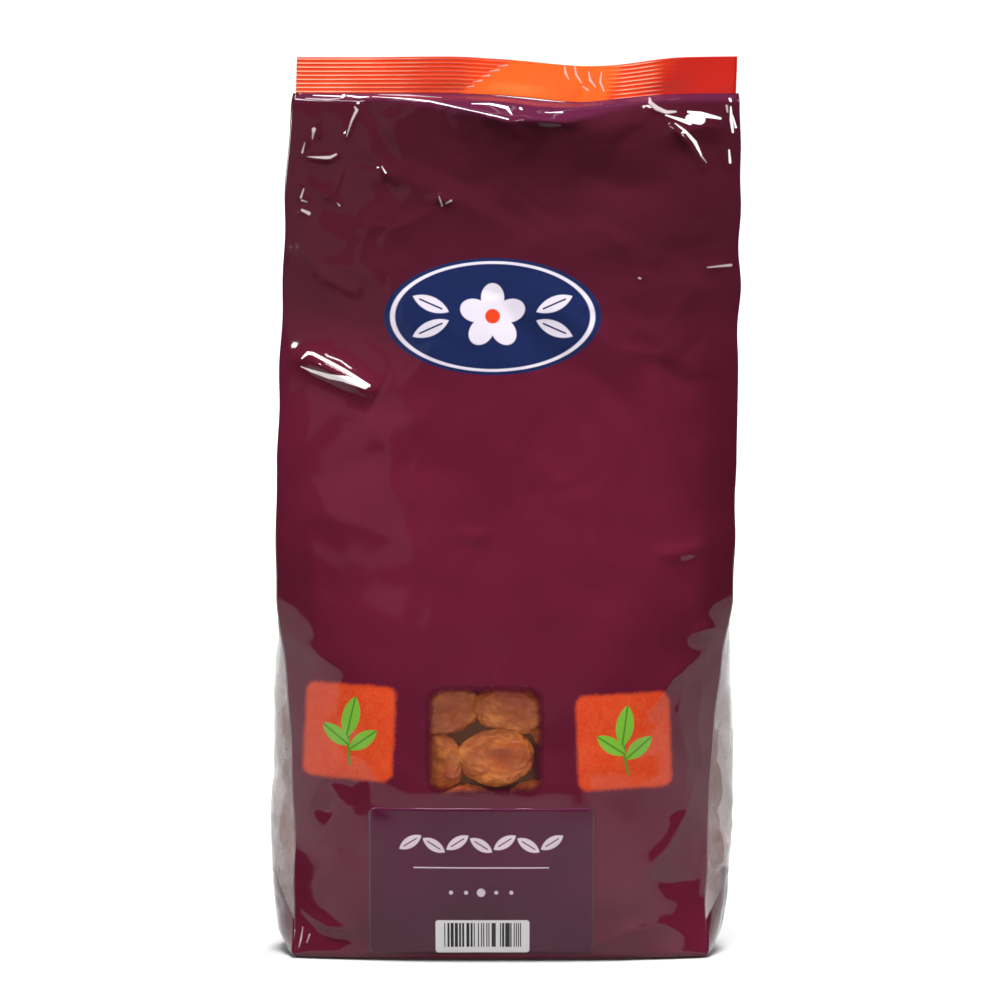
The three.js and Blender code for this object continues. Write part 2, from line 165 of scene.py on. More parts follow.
def facets(a, b, pitch, seed, soft=0.07):
    """The flat facets of crumpled film, about -1 to 1: random peaks joined by straight, softened creases."""
    rng = np.random.default_rng(seed)
    peaks = rng.uniform(-1, 1, (64, 64))
    halved = rng.random((64, 64)) < 0.5
    turn = rng.uniform(0, math.pi)
    across = (a * math.cos(turn) + b * math.sin(turn)) / pitch + 30
    along = (b * math.cos(turn) - a * math.sin(turn)) / pitch + 30
    across = across + 0.55 * ripple(a, b, 2.4 * pitch, seed + 1, 5)
    along = along + 0.55 * ripple(a, b, 2.4 * pitch, seed + 2, 5)
    total = np.zeros(np.broadcast(a, b).shape)
    for step in range(6):
        x = across + soft * math.cos(step * math.pi / 3)
        y = along + soft * math.sin(step * math.pi / 3)
        i, j = np.floor(x).astype(int), np.floor(y).astype(int)
        f, g = x - i, y - j
        i, j = i % 63, j % 63
        low, right, up, high = peaks[i, j], peaks[i + 1, j], peaks[i, j + 1], peaks[i + 1, j + 1]
        rising = np.where(
            f + g < 1,
            low + f * (right - low) + g * (up - low),
            high + (1 - f) * (up - high) + (1 - g) * (right - high),
        )
        falling = np.where(
            f > g,
            low + f * (right - low) + g * (high - right),
            low + g * (up - low) + f * (high - up),
        )
        total += np.where(halved[i, j], rising, falling)
    return total / 6


def crease(a, b, points, height, width, crisp=1.2):
    """The height field of one crease: a ridge, or a valley if height is negative, along a line of points.
    It fades to nothing at both ends. A crispness of 1 gives a sharp top and 2 a round one, and 0 gives
    straight sides, as of a tent."""
    corners = MM * np.array(points, float)
    steps = np.linalg.norm(np.diff(corners, axis=0), axis=1)
    total = steps.sum()
    nearest = np.full(np.broadcast(a, b).shape, 1e9)
    place = np.zeros_like(nearest)
    travelled = 0.0
    for start, end, step in zip(corners[:-1], corners[1:], steps):
        direction = (end - start) / step
        t = np.clip((a - start[0]) * direction[0] + (b - start[1]) * direction[1], 0, step)
        distance = np.hypot(a - start[0] - t * direction[0], b - start[1] - t * direction[1])
        closer = distance < nearest
        nearest = np.where(closer, distance, nearest)
        place = np.where(closer, travelled + t, place)
        travelled += step
    fade = np.sin(math.pi * np.clip(place / total, 0, 1)) ** 0.6
    away = nearest / (width * MM)
    across_it = np.exp(-(away**crisp)) if crisp else np.clip(1 - away, 0, 1)
    return height * MM * fade * across_it


# Folds and creases that the film of the front has, each by its line of [across, up] in millimetres,
# its height, width and crispness
FRONT_CREASES = [
    ([[-58, 348], [-59, 343], [-62, 338], [-64, 332]], 1.0, 1.3, 1.0),
    ([[-79, 337], [-76, 336], [-74, 333]], 1.0, 1.3, 1.0),
    ([[-79, 334], [-81, 329], [-82, 325]], 0.9, 1.2, 1.0),
    ([[-82, 326], [-75, 324.4], [-70, 324.4], [-66, 327]], 1.2, 1.4, 1.0),
    ([[-50, 322], [-47.5, 319], [-46, 315]], 0.9, 1.3, 1.0),
    ([[-81, 314], [-82.5, 309], [-78, 306.5]], 0.9, 1.2, 1.0),
    ([[-79, 313.5], [-74, 311.4], [-70, 308.5], [-65, 305]], 0.7, 1.2, 1.0),
    ([[-83, 303], [-79, 301.5]], 1.0, 1.6, 1.0),
    ([[-26, 310], [-24, 305]], 1.3, 1.5, 1.0),
    ([[-23.5, 305], [-19, 307.5]], 1.3, 1.5, 1.0),
    ([[-48, 344], [-43, 332], [-36, 316]], 0.8, 5.0, 1.1),
    ([[-62, 322], [-40, 316], [-16, 306], [8, 294], [24, 287]], 2.4, 11.0, 1.5),
    ([[-60, 296], [-40, 296], [-24, 304]], 1.2, 5.0, 1.1),
    ([[-84, 290], [-72, 276], [-56, 268]], 1.0, 5.0, 1.1),
    ([[-84, 350], [-85, 320], [-86, 280], [-86.5, 240], [-86, 190]], 0.35, 0.9, 1.0),
    ([[61, 352], [62.5, 346.5], [67, 344], [74, 342.5]], 1.3, 1.8, 1.0),
    ([[68, 337], [76, 336], [84, 338], [93, 337]], 1.9, 7.0, 0),
    ([[69, 339], [75, 333], [80, 327], [84, 319]], 2.2, 2.0, 1.0),
    ([[94, 352], [94.5, 344], [95.5, 333]], 1.2, 1.4, 1.0),
    ([[94, 330], [94.4, 325], [94, 320]], 1.0, 1.3, 1.0),
    ([[83, 279], [90, 280.4], [97, 281.5]], 1.6, 1.9, 1.0),
    ([[55.5, 275], [59.5, 275.8]], 1.0, 1.5, 1.0),
    ([[62, 248], [72, 262], [84, 274]], 1.2, 7.0, 1.2),
    ([[72, 338], [80, 318], [84, 300]], 1.0, 4.0, 1.1),
    ([[30, 320], [52, 312], [74, 316]], -1.6, 9.0, 1.6),
    ([[-87, 243], [-78, 242], [-66, 236], [-50, 227.5]], 4.4, 4.6, 1.6),
    ([[64, 246], [66, 228], [72, 204], [80, 182]], 1.5, 3.6, 1.2),
    ([[56, 252], [62, 240], [76, 232], [88, 236]], -1.6, 7.0, 1.5),
    ([[84, 236], [81, 214], [83, 190], [87, 168]], -1.8, 6.0, 1.5),
    ([[-18, 172], [-9, 169.5], [-3, 172]], 1.3, 2.0, 1.2),
    ([[62, 163], [71, 163], [84, 166]], 1.6, 2.4, 1.2),
    ([[76, 131], [85, 132], [92, 129]], 2.4, 2.6, 1.2),
    ([[-81, 190], [-76, 160], [-74, 128], [-77, 100]], 0.9, 5.0, 1.4),
    ([[90, 130], [82, 122], [70, 114], [60, 98]], 1.6, 4.0, 1.2),
    ([[74, 116], [72, 98], [76, 80], [74, 60]], 1.3, 3.4, 1.2),
    ([[82, 112], [80, 92], [83, 74]], 1.0, 2.6, 1.2),
    ([[-88, 132], [-76, 124], [-62, 116]], 1.2, 6.0, 1.3),
    ([[58, 36], [68, 46], [76, 60], [80, 76]], 1.8, 4.0, 1.0),
    ([[60, 34], [68, 31], [78, 31], [85, 36]], -2.2, 5.0, 1.1),
    ([[84, 46], [81, 34], [84, 20]], 1.8, 2.6, 1.0),
    ([[-84, 26], [-79, 19], [-70, 13], [-56, 11]], 2.0, 3.4, 1.0),
    ([[-76, 12], [-66, 9], [-52, 9]], -1.6, 3.4, 1.1),
    ([[-83, 13], [-78, 9], [-74, 12]], 1.4, 1.6, 1.0),
    ([[-84, 9], [-79, 6], [-76, 8]], 1.2, 1.5, 1.0),
    ([[36, 6], [52, 12], [66, 14], [78, 8]], 1.2, 3.6, 1.1),
    ([[-70, 74], [-60, 70], [-52, 76]], -1.3, 4.4, 1.1),
    ([[-76, 62], [-68, 58]], -1.3, 4.4, 1.1),
]


def fruit_lumps(a, b, seed, pitch=25 * MM):
    """The broad soft lumps where the fruit inside pushes the film out."""
    rng = np.random.default_rng(seed)
    spread = []
    for row in range(8):
        for column in range(-4, 5):
            shift = (row % 2) / 2 + rng.uniform(-0.22, 0.22)
            lift = 0.4 + rng.uniform(-0.22, 0.22)
            spread.append([(column + shift) * pitch, (row + lift) * pitch * 0.86])
    total = np.zeros(np.broadcast(a, b).shape)
    for x, z in spread:
        near = ((a - x) ** 2 + (b - z) ** 2) / (0.46 * pitch) ** 2
        total = np.maximum(total, np.exp(-near))
    return total * (1 - smooth(150 * MM, 190 * MM, b))


# The shoulder under the header: how far it stands out, how deep the film hollows below it, where across
# the bag it is fullest, and the points [across, up] of its ridge
SHOULDER_HEIGHT, HOLLOW_DEPTH = 8.0 * MM, 3.2 * MM
SHOULDER_MIDDLE, SHOULDER_REACH = 8 * MM, 52 * MM
RIDGE = MM * np.array([
    [-93, 351], [-60, 350.2], [-41, 349.4], [-28, 347.6], [-12, 344], [3, 339.8], [14, 342], [26, 341.5],
    [42, 345.5], [60, 348.5], [96, 351],
])


def shoulder(x, z):
    """The rolled shoulder under the header: the film climbs from its ridge to the seal, and hollows below."""
    ridge = np.interp(x, RIDGE[:, 0], RIDGE[:, 1])
    fullness = 0.12 + 0.88 * np.exp(-(((x - SHOULDER_MIDDLE) / SHOULDER_REACH) ** 2))
    above = np.clip((BODY_TOP - z) / np.maximum(BODY_TOP - ridge, 1.5 * MM), 0, 1)
    below = np.exp(-np.clip(ridge - z, 0, 1) / (15 * MM))
    rounded = np.exp(-(((z - ridge + 4 * MM) / (16 * MM)) ** 2)) * 0.4
    soft = smooth(24 * MM, 46 * MM, x)
    fading = smooth(0, 14 * MM, BODY_TOP - z)
    rise = np.where(z > ridge, above, below) * (1 - soft) + rounded * fading * soft
    hollow = np.exp(-(((ridge - z - 38 * MM) / (20 * MM)) ** 2))
    return fullness * (SHOULDER_HEIGHT * rise - HOLLOW_DEPTH * hollow)


SAG_DEPTH, SAG_MIDDLE, SAG_REACH = 3.6 * MM, 30 * MM, 27 * MM


def top_sag(x):
    """How far the seal and the top of the film sag below a straight line."""
    return SAG_DEPTH * np.exp(-(((x - SAG_MIDDLE) / SAG_REACH) ** 2))


# The creases of each side, with -1 for the front. The back film's section adds its own, as 1.
CREASES = {-1: FRONT_CREASES}


def panel_depth(u, z, side):
    """How far the front (-1) or back (1) panel stands from the middle plane. u is -1 to 1 across it."""
    x = lean(z) + fold_x(z) * u
    at_folds = 1 - np.abs(u) ** 8
    at_ends = smooth(0, 6 * MM, z) * smooth(0, 3 * MM, BODY_TOP - z)
    slack, seed = smooth(120 * MM, 250 * MM, z), 11 if side < 0 else 31
    in_middle = 1 - 0.85 * smooth(40 * MM, 66 * MM, np.abs(x))
    crushed = smooth(322 * MM, 345 * MM, z) * in_middle + 0.4 * smooth(30 * MM, 10 * MM, z)
    puckered = smooth(337 * MM, 343 * MM, z) * np.exp(-(((x - 12 * MM) / (32 * MM)) ** 4))
    relief = (0.4 + 1.8 * slack) * MM * facets(x, z, 40 * MM, seed, 0.04)
    relief += (0.15 + 0.35 * slack + 0.25 * crushed) * MM * facets(x, z, 15 * MM, seed + 3, 0.05)
    relief += (0.03 + 0.05 * slack + 0.20 * crushed) * MM * facets(x, z, 6 * MM, seed + 6, 0.10)
    relief += 0.6 * puckered * MM * facets(x, z, 7 * MM, seed + 9, 0.05)
    relief += 0.5 * MM * fruit_lumps(x, z, seed + 2)
    for line in CREASES[side]:
        relief += crease(x, z, *line)
    flat = fold_y(z) + bulge(z) * (1 - np.abs(u) ** PANEL_POWER)
    return flat + at_folds * at_ends * (relief + shoulder(x, z))


def fold_shift(z, side, end):
    """Small unevenness of a fold line, the same for both pieces that meet on it. side is -1 for the
    front and 1 for the back, and end is -1 for the left and 1 for the right."""
    ends = smooth(0, 8 * MM, z) * smooth(0, 8 * MM, BODY_TOP - z)
    return 0.35 * MM * ends * ripple(z, 0 * z, 34 * MM, 60 + 2 * side + end)


def panel_point(u, z, side, out=0.0):
    """A point on the front or back panel, moved out of it by a distance. Heights past the top of the
    body, by up to TURN_IN, are on the film's upper edge, which turns in level to the weld."""
    turned_in = np.clip((z - BODY_TOP) / TURN_IN, 0, 1)
    z = np.minimum(z, BODY_TOP)
    wobble = np.where(u > 0, fold_shift(z, side, 1), fold_shift(z, side, -1)) * np.abs(u) ** 6
    across = lean(z) + fold_x(z) * u
    sag = top_sag(across) * (1 - np.abs(u) ** 6) * smooth(BODY_TOP - 45 * MM, BODY_TOP, z)
    depth = side * (panel_depth(u, z, side) + out) * (1 - turned_in) + HEADER_THICKNESS / 2 * turned_in
    return np.stack([MIDDLE_X + across + wobble, MIDDLE_Y + depth, z - sag], axis=-1)


def sheet_object(name, across, up, place, thickness=FILM_THICKNESS):
    """A thin closed sheet of film from a grid of places. Its UV map holds across and up in metres,
    as place gives them, and its outer face is the grid itself."""
    u, v = np.meshgrid(across, up)
    points, flat = place(u, v)
    rows, columns = u.shape
    corner = (np.arange(rows - 1)[:, None] * columns + np.arange(columns - 1)).ravel()
    faces = np.stack([corner, corner + 1, corner + columns + 1, corner + columns], axis=1)
    mesh = bpy.data.meshes.new(name)
    mesh.from_pydata(points.reshape(-1, 3).tolist(), [], faces.tolist())
    layer = mesh.uv_layers.new(name="print")
    layer.uv.foreach_set("vector", flat.reshape(-1, 2)[faces.ravel()].ravel().astype(np.float32))
    sheet = bpy.data.objects.new(name, mesh)
    bpy.context.collection.objects.link(sheet)
    wall = sheet.modifiers.new("film thickness", "SOLIDIFY")
    wall.thickness = thickness
    wall.offset = -1
    apply_modifiers(sheet)
    return sheet


def apply_modifiers(piece):
    """Turns what the modifiers show into the piece's own smooth mesh."""
    shown = piece.evaluated_get(bpy.context.evaluated_depsgraph_get())
    mesh = bpy.data.meshes.new_from_object(shown)
    mesh.name = piece.name
    piece.modifiers.clear()
    piece.data = mesh
    mesh.shade_smooth()


class Wire:
    """A node socket that Python's operators work on. Each operator adds one Math node to the tree."""

    def __init__(self, tree, socket):
        self.tree = tree
        self.socket = socket

    def node(self, kind, settings=None, values=None, output=0):
        """Adds a node: its settings first, then its sockets' values or links. Returns one output."""
        made = self.tree.nodes.new(kind)
        for name, value in (settings or {}).items():
            setattr(made, name, value)
        for name, value in (values or {}).items():
            if isinstance(value, Wire):
                self.tree.links.new(value.socket, made.inputs[name])
            else:
                made.inputs[name].default_value = value
        return Wire(self.tree, made.outputs[output] if made.outputs else None)

    def math(self, operation, *values):
        return self.node("ShaderNodeMath", {"operation": operation}, dict(enumerate(values)))

    def __add__(self, other):
        return self.math("ADD", self, other)

    def __radd__(self, other):
        return self.math("ADD", other, self)

    def __sub__(self, other):
        return self.math("SUBTRACT", self, other)

    def __rsub__(self, other):
        return self.math("SUBTRACT", other, self)

    def __mul__(self, other):
        return self.math("MULTIPLY", self, other)

    def __rmul__(self, other):
        return self.math("MULTIPLY", other, self)

    def __truediv__(self, other):
        return self.math("DIVIDE", self, other)

    def __pow__(self, other):
        return self.math("POWER", self, other)

    def __abs__(self):
        return self.math("ABSOLUTE", self)

    def sine(self):
        return self.math("SINE", self)

    def floor(self):
        return self.math("FLOOR", self)

    def sign(self):
        return self.math("SIGN", self)

    def least(self, other):
        return self.math("MINIMUM", self, other)

    def most(self, other):
        return self.math("MAXIMUM", self, other)

    def between(self, low, high):
        """0 at low, 1 at high, with a smooth rise between them; low may be the larger one."""
        values = {"Value": self, "From Min": low, "From Max": high}
        return self.node("ShaderNodeMapRange", {"interpolation_type": "SMOOTHSTEP"}, values)

    def length(self, other):
        return (self * self + other * other) ** 0.5

    def mix(self, first, second):
        """The colour first where this is 0 and second where it is 1."""
        values = {0: self, 6: first, 7: second}
        return self.node("ShaderNodeMix", {"data_type": "RGBA"}, values, output=2)

    def noise(self, scale, detail=3.0, roughness=0.5, distortion=0.0):
        """Noise over this vector, about 0 to 1."""
        values = {"Vector": self, "Scale": scale, "Detail": detail}
        values.update({"Roughness": roughness, "Distortion": distortion})
        return self.node("ShaderNodeTexNoise", None, values)


def new_material(name):
    """An empty material, with a wire on its output's tree to build from."""
    material = bpy.data.materials.new(name)
    material.use_nodes = True
    material.node_tree.nodes.clear()
    return material, Wire(material.node_tree, None)


def finish_material(start, surface):
    """Links a finished surface to its material's output."""
    output = start.tree.nodes.new("ShaderNodeOutputMaterial")
    start.tree.links.new(surface.socket, output.inputs["Surface"])


def srgb(red, green, blue):
    """A colour from the 0 to 255 values that a picture shows, as a linear colour with alpha 1."""
    shown = [value / 255 for value in (red, green, blue)]
    linear = [c / 12.92 if c <= 0.04045 else ((c + 0.055) / 1.055) ** 2.4 for c in shown]
    return (*linear, 1.0)


def print_places(start):
    """The print's own places in millimetres: across from the middle of the base, and up."""
    uv = start.node("ShaderNodeUVMap", {"uv_map": "print"})
    across = uv.node("ShaderNodeSeparateXYZ", None, {"Vector": uv}, output=0)
    up = uv.node("ShaderNodeSeparateXYZ", None, {"Vector": uv}, output=1)
    return across * 1000.0, up * 1000.0


def rounded_box(x, z, centre, size, radius):
    """The distance out of a rounded rectangle, negative inside it."""
    out_x = abs(x - centre[0]) - (size[0] / 2 - radius)
    out_z = abs(z - centre[1]) - (size[1] / 2 - radius)
    corner = out_x.most(0.0).length(out_z.most(0.0))
    return corner + out_x.most(out_z).least(0.0) - radius


def grid_lines(places, counts):
    """Grid lines that divide each stretch between two places evenly, by its own count."""
    stretches = [np.linspace(a, b, n, endpoint=False) for a, b, n in zip(places, places[1:], counts)]
    return np.concatenate([*stretches, places[-1:]])


# The grid is finest where the film is creased: near both folds, at the foot and at the top
panel_us = grid_lines([-1, -0.5, 0.62, 1], [58, 58, 48])
panel_zs = grid_lines([0, 60 * MM, 215 * MM, 296 * MM, BODY_TOP], [52, 76, 66, 84])

# The film's own rows end with a tight bend at the top and the edge that turns in from it
BEND = 0.08 * MM
turning_zs = [BODY_TOP - BEND, BODY_TOP, BODY_TOP + TURN_IN / 2, BODY_TOP + TURN_IN]
film_zs = np.concatenate([panel_zs[:-1], turning_zs])

# Colours of the print, with its painted shade, sheen and glints, and its places and sizes in millimetres:
# the window, the two patches with their turn in degrees, the leaves of a sprig with their turn,
# half length and half width, and the emblem
PLUM = srgb(92, 23, 45)
PLUM_DARK = srgb(83, 20, 39)
PLUM_RED = srgb(98, 24, 48)
PLUM_PAINTED_SHADE = srgb(66, 19, 33)
PLUM_PAINTED_SHEEN = srgb(78, 25, 50)
ORANGE = srgb(196, 58, 28)
ORANGE_LIGHT = srgb(198, 76, 40)
PAINTED_GLINT = srgb(250, 238, 243)
LEAF_GREEN = srgb(112, 165, 52)
LEAF_DARK = srgb(70, 125, 40)
NAVY = srgb(24, 34, 72)
KEYLINE = srgb(196, 188, 200)
WINDOW_CENTRE, WINDOW_SIZE = (-6.0, 89.0), (47.0, 43.5)
PATCHES = [((-60.5, 92.0), (37.0, 38.0), -3.0), ((49.5, 88.5), (38.0, 38.0), 2.0)]
SPRIG_LEAVES = [((0.5, 6.0), 80, 8.5, 3.6), ((-5.2, -1.5), 145, 7.0, 3.1), ((5.8, -3.0), 38, 7.0, 3.1)]
EMBLEM_CENTRE, EMBLEM_HALF = (-3.0, 259.0), (44.0, 24.0)
PETAL_REACH, PETAL_HALF = 7.6, (6.0, 4.7)
EMBLEM_LEAF_REACH, EMBLEM_LEAF_HALF = 25.0, (8.0, 3.0)


def front_place(u, z):
    """A point of the front film, and its place on the print."""
    points = panel_point(u, z, -1)
    return points, np.stack([points[..., 0] - MIDDLE_X, z], axis=-1)


def turned(x, z, centre, degrees):
    """Places about a centre, in axes turned by an angle."""
    c, s = math.cos(math.radians(degrees)), math.sin(math.radians(degrees))
    dx, dz = x - centre[0], z - centre[1]
    return dx * c + dz * s, dz * c - dx * s


def leaf_distance(x, z, centre, degrees, half_length, half_width):
    """The distance out of a pointed leaf, negative inside it, and the distance from its middle rib."""
    along, off = turned(x, z, centre, degrees)
    radius = (half_length**2 + half_width**2) / (2 * half_width)
    shift = radius - half_width
    out = along.length(abs(off) + shift) - radius
    return out, abs(off)


def add_patch(x, z, colour, grain, centre, size, degrees):
    """Prints one soft-edged orange patch, and a sprig of three leaves on it."""
    px, pz = turned(x, z, centre, degrees)
    distance = rounded_box(px, pz, (0.0, 0.0), size, 4.0) + (grain - 0.5) * 3.6
    orange = grain.between(0.35, 0.65).mix(ORANGE, ORANGE_LIGHT)
    colour = distance.between(1.1, -1.3).mix(colour, orange)
    stem_along, stem_off = turned(px, pz, (0.0, -3.0), 90)
    stem = abs(stem_off + stem_along * stem_along * 0.012) - 0.45
    stem = stem.most(abs(stem_along) - 10.5)
    colour = stem.between(0.25, -0.15).mix(colour, LEAF_DARK)
    for place, turn, reach, breadth in SPRIG_LEAVES:
        out, rib = leaf_distance(px, pz, place, turn, reach, breadth)
        green = rib.between(0.2, 0.5).mix(LEAF_DARK, LEAF_GREEN)
        colour = out.between(0.2, -0.2).mix(colour, green)
    return colour


def add_emblem(x, z, colour):
    """Prints the dark oval with a pale keyline, and a plain five-petal blossom in it."""
    dx, dz = x - EMBLEM_CENTRE[0], z - EMBLEM_CENTRE[1]
    oval = ((dx / EMBLEM_HALF[0]).length(dz / EMBLEM_HALF[1]) - 1.0) * EMBLEM_HALF[1]
    colour = oval.between(0.25, -0.25).mix(colour, NAVY)
    line = abs(oval + 1.9) - 0.55
    colour = line.between(0.2, -0.2).mix(colour, KEYLINE)
    for angle in range(90, 450, 72):
        reach = (PETAL_REACH * math.cos(math.radians(angle)), PETAL_REACH * math.sin(math.radians(angle)))
        along, off = turned(x, z, (EMBLEM_CENTRE[0] + reach[0], EMBLEM_CENTRE[1] + reach[1]), angle)
        out = ((along / PETAL_HALF[0]).length(off / PETAL_HALF[1]) - 1.0) * PETAL_HALF[1]
        colour = out.between(0.25, -0.25).mix(colour, KEYLINE)
    core = dx.length(dz) - 3.0
    colour = core.between(0.25, -0.25).mix(colour, ORANGE)
    for end in (-1, 1):
        for turn, lift in ((24, 5.0), (-24, -5.0)):
            place = (EMBLEM_CENTRE[0] + end * EMBLEM_LEAF_REACH, EMBLEM_CENTRE[1] + lift)
            out, rib = leaf_distance(x, z, place, end * turn, *EMBLEM_LEAF_HALF)
            colour = out.between(0.25, -0.25).mix(colour, KEYLINE)
            colour = (rib - 0.35).most(out + 1.5).between(0.15, -0.15).mix(colour, NAVY)
    return colour


# Painted glints: thin bright lines of light painted along tight pinches of the film. Each is
# given by its points [across, up] and its half width at each point, in millimetres. Those of the second
# list are less white.
BRIGHT_PAINTED_GLINTS = [
    ([[-52.5, 350.8], [-41, 349.5], [-28.7, 348]], [0.05, 0.2, 0.28]),
    ([[-28.7, 348], [-12.3, 344.1], [3.3, 341.2]], [0.28, 0.1, 0.22]),
    ([[-11.5, 347.3], [-4.1, 347.7], [2.9, 346.6], [4.9, 343.6]], [0.1, 0.35, 0.7, 0.1]),
    ([[8.4, 347], [8.8, 346.6]], [0.5, 0.4]),
    ([[18.4, 346.2], [25.4, 346.9]], [0.05, 0.25]),
    ([[-77, 351.6], [-66, 351.1]], [0.1, 0.2]),
    ([[-65, 350.8], [-64.4, 351.4]], [0.6, 0.6]),
    ([[-63, 351.4], [-58, 350.5], [-54, 350.7]], [0.2, 0.35, 0.1]),
    ([[-48.4, 321.2], [-46.7, 318.3]], [0.0, 0.3]),
    ([[68, 342.9], [77.9, 339.6]], [0.2, 0.9]),
    ([[78, 341.4], [82, 341.2]], [1.8, 2.3]),
    ([[77.4, 344.4], [82.4, 343.2]], [0.4, 1.2]),
    ([[82.8, 343.2], [90.6, 341.6]], [1.1, 0.4]),
    ([[71.8, 339.3], [75.9, 335.9], [80, 331.4], [82.4, 326.4]], [0.1, 0.45, 0.75, 0.3]),
    ([[94.7, 349.9], [95, 349.1]], [0.5, 0.4]),
    ([[95, 346.6], [95.2, 341], [95.7, 336]], [0.2, 0.7, 0.4]),
    ([[95.8, 343], [97, 338]], [0.1, 0.4]),
    ([[94.1, 328.4], [94.5, 323.4]], [0.25, 0.5]),
    ([[-80.5, 242.2], [-78, 244.4], [-75.9, 244.1], [-62.7, 237], [-52.8, 230.8]], [0.2, 0.6, 0.6, 0.6, 0.5]),
    ([[-80.8, 238.9], [-76.3, 237], [-68.9, 234.6], [-62, 233.4]], [0.1, 0.5, 0.9, 1.2]),
    ([[-62, 233.4], [-54.4, 230.6]], [1.4, 1.1]),
]
FAINT_PAINTED_GLINTS = [
    ([[-50, 351.9], [-38, 351.4], [-24, 350.2]], [0.05, 0.4, 0.1]),
    ([[-82.9, 11.1], [-83.8, 5.4]], [0.2, 0.1]),
    ([[-79.6, 12.4], [-80.2, 8], [-81, 4.6]], [0.1, 0.3, 0.1]),
    ([[-76.7, 9.7], [-77.8, 6.5]], [0.25, 0.1]),
    ([[-59.6, 346.1], [-58.8, 344.8], [-60.8, 340.5], [-62.9, 333.9]], [0.3, 0.6, 0.4, 0.15]),
    ([[-76.5, 337], [-77.1, 333]], [0.8, 0.1]),
    ([[-80.2, 331.5], [-81.2, 327.5]], [0.1, 0.4]),
    ([[-79, 325.6], [-71.8, 325.1], [-69.6, 325.2], [-67.2, 326.4]], [0.1, 0.6, 0.6, 0.4]),
    ([[-80.5, 312.2], [-81.6, 308.6]], [0.2, 0.35]),
    ([[-81.2, 307.5], [-78.9, 306.7]], [0.3, 0.1]),
    ([[-81, 303.4], [-78.2, 302]], [0.5, 0.7]),
    ([[-66.6, 306.2], [-65.6, 305.1]], [0.0, 0.3]),
    ([[-24.8, 308.3], [-23.6, 304.6]], [0.1, 0.35]),
    ([[-22, 305.4], [-19.9, 306.6]], [0.2, 0.35]),
    ([[93.3, 347], [93.6, 344.4]], [0.4, 0.3]),
    ([[82.4, 326], [84.7, 323.1]], [0.4, 0.1]),
    ([[56.4, 274.8], [57, 274.6]], [0.3, 0.3]),
    ([[-80, 350.2], [-70.7, 349.6], [-66, 349.9]], [0.2, 0.3, 0.2]),
    ([[61.6, 351.2], [61.7, 348.8], [64.5, 346], [68.3, 344.2], [72.1, 344.4]], [0.3, 0.7, 1.0, 0.8, 0.4]),
    ([[84.6, 279.5], [94.4, 280.7]], [0.2, 0.5]),
]


def nearest_glint_line(place, glint_lines):
    """The distance out of the nearest of some lines, each of which swells and tapers."""
    def vector_math(operation, values, output=0):
        return place.node("ShaderNodeVectorMath", {"operation": operation}, values, output)

    nearest = None
    for points, widths in glint_lines:
        for begin, end, width, next_width in zip(points, points[1:], widths, widths[1:]):
            reach = (end[0] - begin[0], end[1] - begin[1], 0.0)
            squared = reach[0] ** 2 + reach[1] ** 2
            unit = (reach[0] / squared, reach[1] / squared, 0.0)
            away = vector_math("SUBTRACT", {0: place, 1: (*begin, 0.0)})
            along = vector_math("DOT_PRODUCT", {0: away, 1: unit}, 1)
            along = along.node("ShaderNodeClamp", None, {"Value": along})
            foot = vector_math("SCALE", {0: reach, "Scale": along})
            off = vector_math("DISTANCE", {0: away, 1: foot}, 1)
            outside = off - (along * (next_width - width) + width)
            nearest = outside if nearest is None else nearest.least(outside)
    return nearest


def plum_ink_and_shade(space, z):
    """The plum print, a little cloudy, with painted shade that darkens it above the fruit."""
    cloud = space.noise(14.0, 3.0, 0.5)
    streak = space.noise(38.0, 3.0, 0.6)
    plum = cloud.between(0.3, 0.7).mix(PLUM_DARK, PLUM)
    plum = (streak.between(0.5, 0.8) * 0.5).mix(plum, PLUM_RED)
    # Painted shade: the print is darkened above the fruit.
    return z.between(200.0, 290.0).mix(plum, PLUM_PAINTED_SHADE)


def film_skin(start, object_space):
    """The fine unevenness that all of this film has: a faint orange peel and very fine crinkles."""
    peel = object_space.noise(60.0, 3.0, 0.5)
    fine = object_space.noise(240.0, 2.0, 0.5, 0.6)
    values = {"Strength": 0.10, "Distance": 0.0005, "Height": peel + fine * 0.16}
    return start.node("ShaderNodeBump", None, values)


film_material, start = new_material("printed_film")
x, z = print_places(start)
space = start.node("ShaderNodeTexCoord", None, None, output=3)
plum = plum_ink_and_shade(space, z)
# Painted sheen: a paler, bluer band of the print along the shoulder under the header, which faces up.
dip = (abs(x - 5.0) / 62.0).between(1.0, 0.0) * 8.5
plum = (z + dip).between(347.5, 350.5).mix(plum, PLUM_PAINTED_SHEEN)
# Painted shade: a darker strip down the right side of the upper film.
painted_edge_shade = x.between(78.0, 86.0) * z.between(120.0, 150.0) * z.between(262.0, 236.0)
plum = (painted_edge_shade * 0.6).mix(plum, srgb(70, 14, 32))
grain = space.noise(900.0, 2.0, 0.7)
blotch = space.noise(240.0, 3.0, 0.7)
speckle = grain * 0.55 + blotch * 0.45
colour = plum
for centre, size, degrees in PATCHES:
    colour = add_patch(x, z, colour, speckle, centre, size, degrees)
colour = add_emblem(x, z, colour)
window = rounded_box(x, z, WINDOW_CENTRE, WINDOW_SIZE, 7.0) + (speckle - 0.5) * 3.0
opening = window.between(1.0, -3.6)
colour = window.between(-2.5, -6.0).mix(colour, srgb(150, 92, 66))
place = start.node("ShaderNodeCombineXYZ", None, {"X": x, "Y": z})
